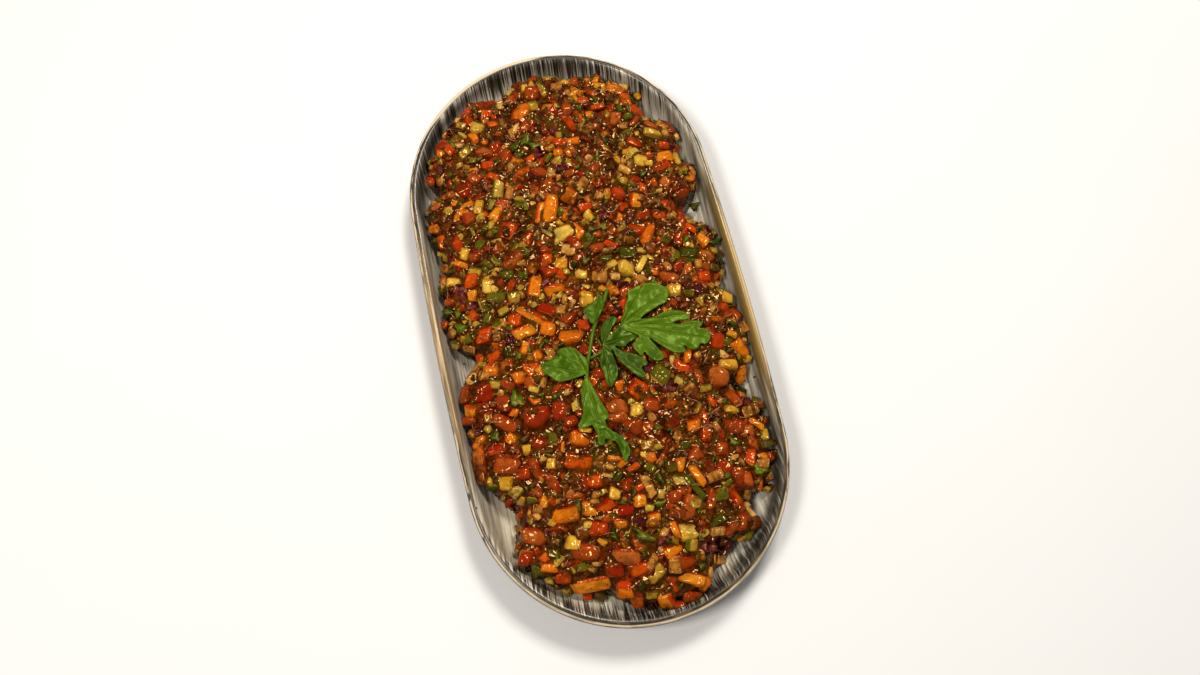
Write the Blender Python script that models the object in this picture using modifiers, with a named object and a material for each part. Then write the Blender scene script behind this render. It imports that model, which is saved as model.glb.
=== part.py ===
"""Long oval stoneware dish, heaped with ezme, a wet chopped salad, under a sprig of parsley.

Metres, +Z up. The origin is the middle of the footprint, on the table, and +Y runs along
the dish. Plan points are (x, y). A margin is how far a plan point lies in from the
outside of the rim, measured square to it.
"""

import math
import random

import bmesh
import bpy
from mathutils import Matrix, Vector, noise
from mathutils.bvhtree import BVHTree
from mathutils.geometry import delaunay_2d_cdt

MM = 0.001

# Dish: two round ends joined by long sides that swell out a little.
DISH_LENGTH = 300 * MM
DISH_HEIGHT = 24 * MM
END_RADIUS = 77.6 * MM
SIDE_BOW = 1.4 * MM
RIM_THICKNESS = 5 * MM
FLOOR_THICKNESS = 4.8 * MM
FLOOR_TOP = 7 * MM
WELL_RADIUS = 60 * MM          # the flat floor ends here and the wall curves up
WALL_TOP_ANGLE = 81            # degrees round the wall's curve at which the rim starts
FOOT_OUTER = 57 * MM
FOOT_INNER = 52 * MM
FOOT_TAPER = 1.2 * MM          # the foot ring is this much wider where it joins the dish
WALL_STEPS = 5
RIM_STEPS = 5
END_STEPS = 9
SIDE_STEPS = 2

HALF_STRAIGHT = DISH_LENGTH / 2 - END_RADIUS
RIM_RADIUS = RIM_THICKNESS / 2
WALL_RUN = END_RADIUS - RIM_THICKNESS - WELL_RADIUS
WALL_RISE = DISH_HEIGHT - FLOOR_TOP

# Salad: a low dome that fills the dish to its wall, but for bare bays along the rim.
CROWN_HEIGHT = 28.5 * MM
DOME_DROP = 5 * MM             # from the crown to over the rim
END_DROP = 1.5 * MM            # from the middle to the far and near ends
EDGE_MARGIN = 6.4 * MM         # from the rim's outside to the salad where there is no bay
EDGE_THICKNESS = 5 * MM        # the blunt edge of the salad
EDGE_SLOPE = 1.25              # the flank rises this much for each unit inwards
EDGE_BLEND = 3 * MM            # the flank rounds over into the dome
EDGE_ROUGHNESS = 1.2 * MM
EDGE_RIPPLE = 8 * MM           # the roughness comes and goes along the rim at this wavelength
LUMPS = ((24 * MM, 1.7 * MM), (10 * MM, 0.9 * MM))      # wavelength and height
DISH_CLEARANCE = 0.9 * MM      # between the salad's underside and the dish's curve
FLOOR_CLEARANCE = 0.4 * MM
CORE_PITCH = 6.8 * MM
UNDERSIDE_INSETS = (0, 4 * MM, 11.5 * MM)

# Bays: the rim point that each one faces, its half width and its depth.
BAYS = (
    ((0, 150 * MM), 45 * MM, 3 * MM),
    ((-26 * MM, 145 * MM), 10 * MM, 4 * MM),
    ((21 * MM, 147 * MM), 6 * MM, 2.5 * MM),
    ((66 * MM, 113 * MM), 12 * MM, 6.5 * MM),
    ((77 * MM, 81 * MM), 8 * MM, 5 * MM),
    ((78 * MM, 46 * MM), 8 * MM, 10 * MM),
    ((79 * MM, 5 * MM), 5 * MM, 3.5 * MM),
    ((78 * MM, -49 * MM), 6.5 * MM, 11 * MM),
    ((66 * MM, -112 * MM), 7.5 * MM, 9.5 * MM),
    ((42 * MM, -137 * MM), 13 * MM, 9 * MM),
    ((-33 * MM, -143 * MM), 20 * MM, 7 * MM),
    ((-76 * MM, -88 * MM), 15 * MM, 10.5 * MM),
    ((-79 * MM, -7 * MM), 7 * MM, 10 * MM),
    ((-78 * MM, 48 * MM), 12 * MM, 3 * MM),
    ((-76 * MM, 87 * MM), 5.5 * MM, 7 * MM),
)

# Chopped pieces that stand proud. Of each kind, its share of all, then its least and its
# greatest length, width and thickness.
PIECE_KINDS = {
    "dice": (0.55, (5.5 * MM, 5 * MM, 4.5 * MM), (9 * MM, 8 * MM, 6.5 * MM)),
    "strip": (0.23, (10 * MM, 3.5 * MM, 3.5 * MM), (15 * MM, 5 * MM, 4.5 * MM)),
    "flake": (0.22, (8 * MM, 6 * MM, 2 * MM), (13 * MM, 9 * MM, 2.8 * MM)),
}
PIECE_PITCH = 13.7 * MM
PIECE_JITTER = 2.6 * MM
PIECE_TILT = 24                # degrees, at most
PIECE_UNEVEN = 0.13            # how far a corner strays, as a share of the piece
PIECE_PROUD = (0.25, 0.5)      # share of the thickness that stands above the salad
PIECE_INSET = 1 * MM           # the middle of a piece lies at least this far in from the edge
PIECE_CLEARANCE = 0.5 * MM     # kept to the dish and the parsley
RANDOM_SEED = 7

# Parsley. Each leaflet has its base, how far its tips curl up, and the fan of its tips and
# clefts, as degrees and distance from the base. These and the stalks' routes are in
# leaf units.
LEAF_UNIT = 1 * MM
LEAF_THICKNESS = 0.5 * MM
LEAF_MID_RING = 0.55           # share of the way from the base to the edge
HALF_WAY = 0.5                 # where an edge splits in two
STEM_RADIUS = 0.9 * MM
PETIOLE_RADIUS = 0.7 * MM
LEAF_CLEARANCE = 0.6 * MM
LEAF_REACH = 4 * MM            # a leaf clears the highest lump within this distance
LEAF_WAVES = 3                 # times that a leaflet's edge rises and falls in a turn
REACH_STEPS = 8
LEAFLETS = {
    "right": ((15.1, -10.6), 2.6, (
        (120, 4), (80, 9), (76, 18), (66, 19), (55, 22), (50, 20), (47, 25), (30, 27), (22, 23), (18, 15),
        (13, 7), (9, 14), (5, 23), (-3, 30.5), (-8, 23), (-11, 34), (-15, 36.5), (-20, 40.5), (-29, 37),
        (-33, 35.5), (-36, 29), (-43, 26.5), (-47, 19.5), (-50, 12), (-53, 17), (-56, 23.5), (-65, 22),
        (-73, 17), (-81, 19), (-91, 13), (-97, 8),
    )),
    "lower": ((3.8, -18.4), 0.2, (
        (105, 9), (66, 14), (49, 14), (32, 14.5), (7, 15), (-14, 9), (-25, 8), (-33, 13), (-40, 20.5),
        (-46, 18.5), (-52, 23), (-58, 23), (-66, 14), (-73, 6), (-82, 13.5), (-104, 20.5), (-120, 13.5),
        (-141, 8.5), (-178, 4), (135, 6),
    )),
    "left": ((-9.1, -28.1), 1.2, (
        (72, 6), (96, 10.5), (114, 14.5), (128, 18), (138, 14.5), (148, 19), (160, 22.5), (172, 19.5),
        (187, 14.5), (197, 8), (242, 3),
    )),
    "near": ((-12, -45), 0.8, (
        (81, 16), (116, 9), (159, 6), (212, 9), (248, 12.5), (265, 9.5), (284, 12), (317, 12.5),
        (332, 9.5), (12, 6.5), (55, 9),
    )),
    "tip": ((-5.2, -59.5), 1.4, (
        (140, 7), (176, 9), (209, 13.5), (232, 6.5), (262, 5), (290, 10), (303, 15.5), (322, 11),
        (350, 6), (90, 4),
    )),
    "upper": ((1, -1), 1.0, (
        (245, 5.5), (192, 6.5), (152, 5), (105, 4), (78, 6), (51, 11), (25, 7), (345, 3.5),
    )),
}
STEM_ROUTE = (
    (9.9, 9.9), (6.3, 3.2), (2.5, -2.1), (-1.7, -8.6), (-4.6, -16.1), (-7.2, -22.2),
    (-9.4, -28.3), (-10.7, -36), (-11.5, -44), (-11.5, -51), (-7.5, -58),
)
PETIOLE_ROUTE = ((15.1, -10.6), (10, -14.5), (3.8, -18.4), (-1.5, -20.5), (-7, -22))

WELD_DISTANCE = 0.01 * MM
SHARP_ANGLE = math.radians(40)
INSIDE_OUTLINE = 1             # the triangulation's output type that keeps what an outline holds

# Colour as linear red, green, blue, then roughness.
FINISHES = {
    "dish": ((0.30, 0.29, 0.26), 0.25),
    "ezme_salad": ((0.19, 0.062, 0.012), 0.22),
    "parsley_sprig": ((0.09, 0.17, 0.012), 0.45),
}


def clear_scene():
    """Remove every object of the open scene."""
    for item in list(bpy.data.objects):
        bpy.data.objects.remove(item, do_unlink=True)


def new_collection(name):
    """Link a new collection to the scene."""
    collection = bpy.data.collections.new(name)
    bpy.context.scene.collection.children.link(collection)
    return collection


def new_object(name, bm, collection):
    """Turn a bmesh into a linked object and free the bmesh."""
    mesh = bpy.data.meshes.new(name)
    bm.to_mesh(mesh)
    bm.free()
    item = bpy.data.objects.new(name, mesh)
    collection.objects.link(item)
    return item


def bake(item):
    """Replace an object's mesh by its evaluated one and drop its modifiers."""
    bpy.context.view_layer.update()
    evaluated = item.evaluated_get(bpy.context.evaluated_depsgraph_get())
    mesh = bpy.data.meshes.new_from_object(evaluated)
    item.modifiers.clear()
    item.data = mesh


def split_faces(item):
    """Split an object's faces into triangles."""
    bm = bmesh.new()
    bm.from_mesh(item.data)
    bmesh.ops.triangulate(bm, faces=bm.faces)
    bm.to_mesh(item.data)
    bm.free()


def dress(item):
    """Give a node the material of its own."""
    colour, roughness = FINISHES[item.name]
    material = bpy.data.materials.new(item.name)
    material.use_nodes = True
    shader = material.node_tree.nodes["Principled BSDF"]
    shader.inputs["Base Color"].default_value = (*colour, 1)
    shader.inputs["Roughness"].default_value = roughness
    shader.inputs["Metallic"].default_value = 0
    item.data.materials.clear()
    item.data.materials.append(material)


# ---------------------------------------------------------------- plan of the oval


def oval_frame(x, y):
    """Return the outward direction at a plan point, its distance from the axis and the rim's."""
    along = max(-HALF_STRAIGHT, min(HALF_STRAIGHT, y))
    offset = Vector((x, y - along))
    distance = offset.length
    outward = offset / distance if distance > 0 else Vector((1, 0))
    rim = END_RADIUS + SIDE_BOW * (1 - (along / HALF_STRAIGHT) ** 2)
    return outward, distance, rim


def salad_margin(x, y):
    """Margin of the salad's edge on the ray from the axis through a plan point."""
    outward, distance, rim = oval_frame(x, y)
    facing = Vector((x, y)) + outward * (rim - distance)
    margin = EDGE_MARGIN
    for centre, width, depth in BAYS:
        margin += depth * math.exp(-((facing - Vector(centre)).length / width) ** 2)
    ripple = noise.noise(Vector((facing.x, facing.y, 0)) / EDGE_RIPPLE)
    return margin + EDGE_ROUGHNESS * abs(ripple)


def inside_height(margin):
    """Height of the dish's inside at a margin."""
    run = END_RADIUS - margin - WELL_RADIUS
    if run <= 0:
        return FLOOR_TOP
    share = min(1, run / WALL_RUN)
    return DISH_HEIGHT - WALL_RISE * math.sqrt(1 - share * share)


def underside_height(margin):
    """Height of the salad's underside, clear of the dish."""
    on_wall = min(1, max(0, (END_RADIUS - margin - WELL_RADIUS) / WALL_RUN))
    return inside_height(margin) + FLOOR_CLEARANCE + DISH_CLEARANCE * on_wall


def salad_height(x, y):
    """Height of the bare salad's top at a plan point."""
    _, distance, rim = oval_frame(x, y)
    edge = salad_margin(x, y)
    inwards = max(0, rim - distance - edge)
    flank = inside_height(edge) + EDGE_THICKNESS + EDGE_SLOPE * inwards
    dome = CROWN_HEIGHT - DOME_DROP * (distance / END_RADIUS) ** 2
    dome -= END_DROP * (2 * y / DISH_LENGTH) ** 2
    lumps = sum(height * noise.noise(Vector((x, y, 0)) / wave) for wave, height in LUMPS)
    blend = max(0, EDGE_BLEND - abs(flank - dome)) / EDGE_BLEND
    rounded = min(flank, dome) - blend * blend * EDGE_BLEND / 4
    return rounded + lumps * min(1, inwards / EDGE_THICKNESS)


def outline_points():
    """Plan points of the salad's edge, one each core pitch round the oval."""
    corner = math.pi * END_RADIUS
    length = 4 * HALF_STRAIGHT + 2 * corner
    count = round(length / CORE_PITCH)
    points = []
    for step in range(count):
        route = length * step / count
        side, route = divmod(route, 2 * HALF_STRAIGHT + corner)
        if route < 2 * HALF_STRAIGHT:
            start = Vector((END_RADIUS, route - HALF_STRAIGHT))
        else:
            angle = (route - 2 * HALF_STRAIGHT) / END_RADIUS
            start = Vector((END_RADIUS * math.cos(angle), HALF_STRAIGHT + END_RADIUS * math.sin(angle)))
        start *= 1 if side == 0 else -1
        outward, distance, rim = oval_frame(*start)
        points.append(start + outward * (rim - distance - salad_margin(*start)))
    return points


def hex_points(pitch):
    """Plan points of a triangular grid over the whole dish."""
    row_gap = pitch * math.sqrt(3) / 2
    rows = int(DISH_LENGTH / 2 / row_gap)
    columns = int(END_RADIUS / pitch) + 1
    for row in range(-rows, rows + 1):
        for column in range(-columns, columns + 1):
            yield Vector(((column + row % 2 / 2) * pitch, row * row_gap))


def depth_inside(x, y):
    """How far a plan point lies in from the salad's edge."""
    _, distance, rim = oval_frame(x, y)
    return rim - distance - salad_margin(x, y)


# ---------------------------------------------------------------- dish


def wall_curve(run, rise):
    """Section of the wall's inside or outside, from the floor up, as (radius, height)."""
    points = []
    for step in range(WALL_STEPS + 1):
        angle = math.radians(WALL_TOP_ANGLE) * step / WALL_STEPS
        points.append((WELL_RADIUS + run * math.sin(angle), DISH_HEIGHT - rise * math.cos(angle)))
    return points


def dish_profile():
    """Half section from the inside floor over the rim and down to the underside."""
    inside = wall_curve(WALL_RUN, WALL_RISE)
    outside = wall_curve(WALL_RUN + RIM_THICKNESS, WALL_RISE + FLOOR_THICKNESS)
    rim = []
    for step in range(RIM_STEPS):
        angle = math.pi * (1 - (step + 0.5) / RIM_STEPS)
        radius = END_RADIUS - RIM_RADIUS + RIM_RADIUS * math.cos(angle)
        rim.append((radius, DISH_HEIGHT - RIM_RADIUS + RIM_RADIUS * math.sin(angle)))
    underside = FLOOR_TOP - FLOOR_THICKNESS
    foot = [
        (FOOT_OUTER + FOOT_TAPER, underside),
        (FOOT_OUTER, 0),
        (FOOT_INNER, 0),
        (FOOT_INNER - FOOT_TAPER, underside),
    ]
    return inside + rim + outside[::-1] + foot


def turned_quarter(collection):
    """A quarter of the round end, turned from the profile, with its centre at the origin."""
    bm = bmesh.new()
    line = [bm.verts.new((radius, 0, height)) for radius, height in dish_profile()]
    for start, end in zip(line, line[1:]):
        bm.edges.new((start, end))
    quarter = new_object("dish", bm, collection)
    screw = quarter.modifiers.new("turn", "SCREW")
    screw.axis = "Z"
    screw.angle = math.pi / 2
    screw.steps = screw.render_steps = END_STEPS
    screw.use_merge_vertices = True
    screw.merge_threshold = WELD_DISTANCE
    bake(quarter)
    return quarter


def lengthen(bm):
    """Draw the quarter's open side out along the dish, as far as the middle."""
    bmesh.ops.translate(bm, verts=bm.verts, vec=(0, HALF_STRAIGHT, 0))
    end = [e for e in bm.edges if all(v.co.y - HALF_STRAIGHT < WELD_DISTANCE for v in e.verts)]
    for _ in range(SIDE_STEPS):
        drawn = bmesh.ops.extrude_edge_only(bm, edges=end)["geom"]
        moved = [g for g in drawn if isinstance(g, bmesh.types.BMVert)]
        bmesh.ops.translate(bm, verts=moved, vec=(0, -HALF_STRAIGHT / SIDE_STEPS, 0))
        end = [g for g in drawn if isinstance(g, bmesh.types.BMEdge)]


def make_dish(collection):
    """The dish, as one closed body."""
    dish = turned_quarter(collection)
    bm = bmesh.new()
    bm.from_mesh(dish.data)
    lengthen(bm)
    bm.to_mesh(dish.data)
    bm.free()
    mirror = dish.modifiers.new("halves", "MIRROR")
    mirror.use_axis = (True, True, False)
    mirror.merge_threshold = WELD_DISTANCE
    bake(dish)
    bm = bmesh.new()
    bm.from_mesh(dish.data)
    for vert in bm.verts:
        outward, _, rim = oval_frame(vert.co.x, vert.co.y)
        vert.co.xy += outward * (rim - END_RADIUS)
    rims = [e for e in bm.edges if e.is_boundary]
    bmesh.ops.holes_fill(bm, edges=rims)
    bmesh.ops.recalc_face_normals(bm, faces=bm.faces)
    bm.to_mesh(dish.data)
    bm.free()
    dish.data.shade_smooth()
    dish.data.set_sharp_from_angle(angle=SHARP_ANGLE)
    return dish


# ---------------------------------------------------------------- salad


def core_sheet():
    """The top of the bare salad as an open sheet, triangulated inside its outline."""
    edge = outline_points()
    inner = [p for p in hex_points(CORE_PITCH) if depth_inside(*p) > CORE_PITCH / 2]
    loop = [list(range(len(edge)))]
    points, _, faces, *_ = delaunay_2d_cdt(edge + inner, [], loop, INSIDE_OUTLINE, WELD_DISTANCE)
    bm = bmesh.new()
    verts = [bm.verts.new((p.x, p.y, salad_height(p.x, p.y))) for p in points]
    for face in faces:
        bm.faces.new([verts[index] for index in face])
    return bm


def draw_underside(bm):
    """Draw the sheet's edge down to the dish and in along its curve, then close the bottom."""
    ring = [e for e in bm.edges if e.is_boundary]
    for inset in UNDERSIDE_INSETS:
        drawn = bmesh.ops.extrude_edge_only(bm, edges=ring)["geom"]
        for vert in (g for g in drawn if isinstance(g, bmesh.types.BMVert)):
            outward, distance, rim = oval_frame(*vert.co.xy)
            margin = salad_margin(*vert.co.xy) + inset
            vert.co.xy += outward * (rim - distance - margin)
            vert.co.z = underside_height(margin)
        ring = [g for g in drawn if isinstance(g, bmesh.types.BMEdge)]
    bmesh.ops.holes_fill(bm, edges=ring)
    bmesh.ops.recalc_face_normals(bm, faces=bm.faces)
    bmesh.ops.triangulate(bm, faces=bm.faces)


def make_core(collection):
    """The bare salad without its loose pieces."""
    bm = core_sheet()
    draw_underside(bm)
    return new_object("ezme_salad", bm, collection)


def pick_size(rng):
    """Draw a kind of piece by its share, and a size of that kind."""
    draw = rng.random()
    for share, low, high in PIECE_KINDS.values():
        draw -= share
        if draw < 0:
            break
    return Vector([rng.uniform(a, b) for a, b in zip(low, high)])


def chopped_piece(rng, spot):
    """An uneven knife-cut piece, tilted and part sunk in the salad at a plan point."""
    size = pick_size(rng)
    bm = bmesh.new()
    bmesh.ops.create_cube(bm, size=1)
    for vert in bm.verts:
        stray = Vector([rng.uniform(-PIECE_UNEVEN, PIECE_UNEVEN) for _ in range(3)])
        vert.co = (vert.co + stray) * size
    tilt = Matrix.Rotation(math.radians(rng.uniform(-PIECE_TILT, PIECE_TILT)), 4, "X")
    tilt = Matrix.Rotation(math.radians(rng.uniform(-PIECE_TILT, PIECE_TILT)), 4, "Y") @ tilt
    turn = Matrix.Rotation(rng.uniform(0, math.tau), 4, "Z")
    height = salad_height(*spot) + size.z * (rng.uniform(*PIECE_PROUD) - 0.5)
    place = Matrix.Translation((spot.x, spot.y, height))
    bmesh.ops.transform(bm, matrix=place @ turn @ tilt, verts=bm.verts)
    bmesh.ops.triangulate(bm, faces=bm.faces)
    bm.normal_update()
    return bm


def crosses(bm, trees):
    """Whether a piece, with its clearance, meets any of the trees."""
    grown = bm.copy()
    for vert in grown.verts:
        vert.co += vert.normal * PIECE_CLEARANCE
    tree = BVHTree.FromBMesh(grown)
    grown.free()
    return any(tree.overlap(other) for other in trees)


def make_pieces(collection, trees):
    """Spread pieces evenly over the salad, and skip any that would cross a neighbour."""
    rng = random.Random(RANDOM_SEED)
    for number, spot in enumerate(hex_points(PIECE_PITCH)):
        spot += Vector((rng.uniform(-1, 1), rng.uniform(-1, 1))) * PIECE_JITTER
        bm = chopped_piece(rng, spot)
        if depth_inside(*spot) < PIECE_INSET or crosses(bm, trees):
            bm.free()
            continue
        new_object(f"piece_{number}", bm, collection)


def keep_largest_island(bm):
    """Delete loose scraps and sealed hollows, leaving the outer body."""
    islands = []
    unseen = set(bm.verts)
    while unseen:
        stack = [unseen.pop()]
        island = list(stack)
        while stack:
            for edge in stack.pop().link_edges:
                for vert in edge.verts:
                    if vert in unseen:
                        unseen.remove(vert)
                        island.append(vert)
                        stack.append(vert)
        islands.append(island)
    islands.sort(key=len)
    for island in islands[:-1]:
        bmesh.ops.delete(bm, geom=island, context="VERTS")


def fuse(item, collection):
    """Join a collection's objects to an item as one closed body, and remove them."""
    union = item.modifiers.new("fuse", "BOOLEAN")
    union.operation = "UNION"
    union.operand_type = "COLLECTION"
    union.collection = collection
    union.solver = "EXACT"
    bake(item)
    for piece in list(collection.objects):
        bpy.data.objects.remove(piece, do_unlink=True)
    bm = bmesh.new()
    bm.from_mesh(item.data)
    keep_largest_island(bm)
    bmesh.ops.triangulate(bm, faces=bm.faces)
    bm.to_mesh(item.data)
    bm.free()


# ---------------------------------------------------------------- parsley


def resting_height(x, y):
    """Height of the highest lump of salad near a plan point."""
    heights = [salad_height(x, y)]
    for step in range(REACH_STEPS):
        angle = math.tau * step / REACH_STEPS
        heights.append(salad_height(x + LEAF_REACH * math.cos(angle), y + LEAF_REACH * math.sin(angle)))
    return max(heights)


def leaf_height(x, y, share, angle, curl):
    """Height of a leaflet, wavy towards its edge and curled up by curl at its tips."""
    wave = 1 + math.sin(LEAF_WAVES * angle)
    lift = LEAF_CLEARANCE + STEM_RADIUS
    return resting_height(x, y) + lift + share * share * curl * LEAF_UNIT * wave / 2


def make_leaflet(name, collection):
    """One leaflet, a fan of triangles draped over the salad and given its thickness."""
    base, curl, fan = LEAFLETS[name]
    bm = bmesh.new()
    bmesh.ops.create_circle(bm, cap_ends=True, cap_tris=True, segments=len(fan), radius=1)
    bm.verts.ensure_lookup_table()
    centre = max(bm.verts, key=lambda v: len(v.link_edges))
    edge = sorted((v for v in bm.verts if v is not centre), key=lambda v: math.atan2(v.co.y, v.co.x))
    turns = sorted(((math.radians(degrees) % math.tau, length) for degrees, length in fan))
    for vert, (angle, length) in zip(edge, turns):
        vert.co = Vector((math.cos(angle), math.sin(angle), 0)) * length * LEAF_UNIT
    bmesh.ops.subdivide_edges(bm, edges=centre.link_edges[:], cuts=1)
    bmesh.ops.triangulate(bm, faces=bm.faces)
    rim = {v for v in bm.verts if v.is_boundary}
    for vert in bm.verts:
        share = 1 if vert in rim else 0 if vert is centre else LEAF_MID_RING
        if share == LEAF_MID_RING:
            vert.co *= LEAF_MID_RING / HALF_WAY
        angle = math.atan2(vert.co.y, vert.co.x)
        vert.co.xy += Vector(base) * LEAF_UNIT
        vert.co.z = leaf_height(vert.co.x, vert.co.y, share, angle, curl)
    leaf = new_object(name, bm, collection)
    thicken = leaf.modifiers.new("thickness", "SOLIDIFY")
    thicken.thickness = LEAF_THICKNESS
    thicken.offset = 0
    bake(leaf)
    split_faces(leaf)
    return leaf


def make_stalk(name, route, radius, collection):
    """A round stalk along plan points, resting on the salad."""
    curve = bpy.data.curves.new(name, "CURVE")
    curve.dimensions = "3D"
    curve.bevel_depth = radius
    curve.bevel_resolution = 1
    curve.use_fill_caps = True
    spline = curve.splines.new("POLY")
    spline.points.add(len(route) - 1)
    for point, (x, y) in zip(spline.points, route):
        x, y = x * LEAF_UNIT, y * LEAF_UNIT
        point.co = (x, y, resting_height(x, y) + LEAF_CLEARANCE + STEM_RADIUS, 1)
    guide = bpy.data.objects.new(name, curve)
    collection.objects.link(guide)
    bpy.context.view_layer.update()
    mesh = bpy.data.meshes.new_from_object(guide.evaluated_get(bpy.context.evaluated_depsgraph_get()))
    bpy.data.objects.remove(guide, do_unlink=True)
    bm = bmesh.new()
    bm.from_mesh(mesh)
    bmesh.ops.remove_doubles(bm, verts=bm.verts, dist=WELD_DISTANCE)
    bmesh.ops.recalc_face_normals(bm, faces=bm.faces)
    return new_object(name, bm, collection)


def make_parsley(collection, pieces):
    """The sprig: leaflets and petiole fused to the main stalk."""
    sprig = make_stalk("parsley_sprig", STEM_ROUTE, STEM_RADIUS, collection)
    make_stalk("petiole", PETIOLE_ROUTE, PETIOLE_RADIUS, pieces)
    for name in LEAFLETS:
        make_leaflet(name, pieces)
    fuse(sprig, pieces)
    return sprig


def tree_of(item):
    """Search tree of an object's mesh."""
    bm = bmesh.new()
    bm.from_mesh(item.data)
    tree = BVHTree.FromBMesh(bm)
    bm.free()
    return tree


def main():
    """Build the dish, the salad and the sprig."""
    clear_scene()
    parts = new_collection("ezme_dish")
    pieces = new_collection("pieces")
    dish = make_dish(parts)
    salad = make_core(parts)
    sprig = make_parsley(parts, pieces)
    make_pieces(pieces, [tree_of(dish), tree_of(sprig)])
    fuse(salad, pieces)
    for item in (dish, salad, sprig):
        dress(item)


if __name__ == "__main__":
    main()
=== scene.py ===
"""Looks of a long oval stoneware dish, heaped with ezme, a finely chopped wet salad, under parsley.

Metres, +Z up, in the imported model's own frame: the origin is the middle of the footprint and
+Y runs along the dish. A margin is how far a plan point lies in from the outside of the rim.
"""

import logging
import math
from collections.abc import Callable, Sequence
from dataclasses import dataclass, field, replace
from enum import Enum

import bpy
import numpy as np
from mathutils import Euler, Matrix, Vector, noise
from mathutils.bvhtree import BVHTree


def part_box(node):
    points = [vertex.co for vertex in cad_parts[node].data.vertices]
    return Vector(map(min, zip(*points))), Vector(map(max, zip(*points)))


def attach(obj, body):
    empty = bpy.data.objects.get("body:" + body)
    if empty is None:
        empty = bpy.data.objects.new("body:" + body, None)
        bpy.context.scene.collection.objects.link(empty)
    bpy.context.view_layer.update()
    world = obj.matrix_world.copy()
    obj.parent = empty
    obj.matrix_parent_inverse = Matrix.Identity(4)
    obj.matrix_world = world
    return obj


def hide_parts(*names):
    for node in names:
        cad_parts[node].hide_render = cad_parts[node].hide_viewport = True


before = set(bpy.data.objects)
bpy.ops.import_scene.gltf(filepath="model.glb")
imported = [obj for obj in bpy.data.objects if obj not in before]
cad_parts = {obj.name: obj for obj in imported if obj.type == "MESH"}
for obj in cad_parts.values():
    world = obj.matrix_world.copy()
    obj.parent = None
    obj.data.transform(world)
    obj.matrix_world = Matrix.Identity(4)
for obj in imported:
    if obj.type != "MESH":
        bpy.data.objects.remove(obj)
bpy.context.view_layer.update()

log = logging.getLogger("ezme_dish")

MM = 0.001
BODY = "root"
SEEN = -1  # number of the batch of pieces that the photograph shows
TINY = 1e-9  # keeps a division off zero

Colour = tuple[float, float, float, float]
Array = np.ndarray
Item = bpy.types.Object
Plan = tuple[tuple[float, float], ...]  # points or pixels


def paint(red: int, green: int, blue: int) -> Colour:
    """Give a colour seen on a screen, 0 to 255 a channel, as the shader's linear light.

    Args:
        red: Red as seen.
        green: Green as seen.
        blue: Blue as seen.

    Returns:
        Linear red, green and blue, then an alpha of 1.
    """
    def linear(channel: int) -> float:
        """Undo the screen's curve for one channel."""
        share = channel / 255
        return share / 12.92 if share <= 0.04045 else ((share + 0.055) / 1.055) ** 2.4
    return (linear(red), linear(green), linear(blue), 1.0)


def ripple(x: Array, y: Array, wave: float) -> Array:
    """Smooth noise of about -1 to 1 over plan points, the same that the solids' lumps follow.

    Args:
        x: Plan points across the dish.
        y: Plan points along the dish.
        wave: Wavelength of the noise.

    Returns:
        One value for each point, in the points' shape.
    """
    flat = [noise.noise((a, b, 0)) for a, b in zip(np.ravel(x) / wave, np.ravel(y) / wave)]
    return np.array(flat).reshape(np.shape(x))


def ease(low: float, high: float, value: Array) -> Array:
    """Rise smoothly from 0 at low to 1 at high."""
    share = np.clip((value - low) / (high - low), 0, 1)
    return share * share * (3 - 2 * share)


# ---- the dish's and the heap's form


@dataclass(frozen=True)
class Oval:
    """Plan of the dish: two round ends joined by long sides that swell out a little."""

    length: float = 300 * MM
    end_radius: float = 77.6 * MM
    side_bow: float = 1.4 * MM

    @property
    def half_straight(self) -> float:
        """Half the length of the straight sides."""
        return self.length / 2 - self.end_radius

    def reach(self, x: Array, y: Array) -> tuple[Array, Array, Array, Array]:
        """Measure plan points from the dish's axis.

        Args:
            x: Plan points across the dish.
            y: Plan points along the dish.

        Returns:
            The outward direction's two parts, the distance from the axis, and the rim's distance.
        """
        along = np.clip(y, -self.half_straight, self.half_straight)
        distance = np.hypot(x, y - along)
        safe = np.maximum(distance, TINY)
        rim = self.end_radius + self.side_bow * (1 - (along / self.half_straight) ** 2)
        return x / safe, (y - along) / safe, distance, rim


@dataclass(frozen=True)
class Bowl:
    """Section of the dish: a flat floor, a wall that curves up, and a rolled rim."""

    height: float = 24 * MM
    rim_thickness: float = 5 * MM
    floor_thickness: float = 4.8 * MM
    floor_top: float = 7 * MM
    well_radius: float = 60 * MM
    wall_top_angle: float = math.radians(81)
    foot_outer: float = 57 * MM
    foot_inner: float = 52 * MM
    foot_taper: float = 1.2 * MM
    oval: Oval = Oval()

    @property
    def wall_run(self) -> float:
        """Plan distance from the flat floor to the rim's inner side."""
        return self.oval.end_radius - self.rim_thickness - self.well_radius

    def inside_height(self, margin: Array) -> Array:
        """Height of the inside at a margin."""
        share = np.clip((self.oval.end_radius - margin - self.well_radius) / self.wall_run, 0, 1)
        return self.height - (self.height - self.floor_top) * np.sqrt(1 - share * share)


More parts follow.
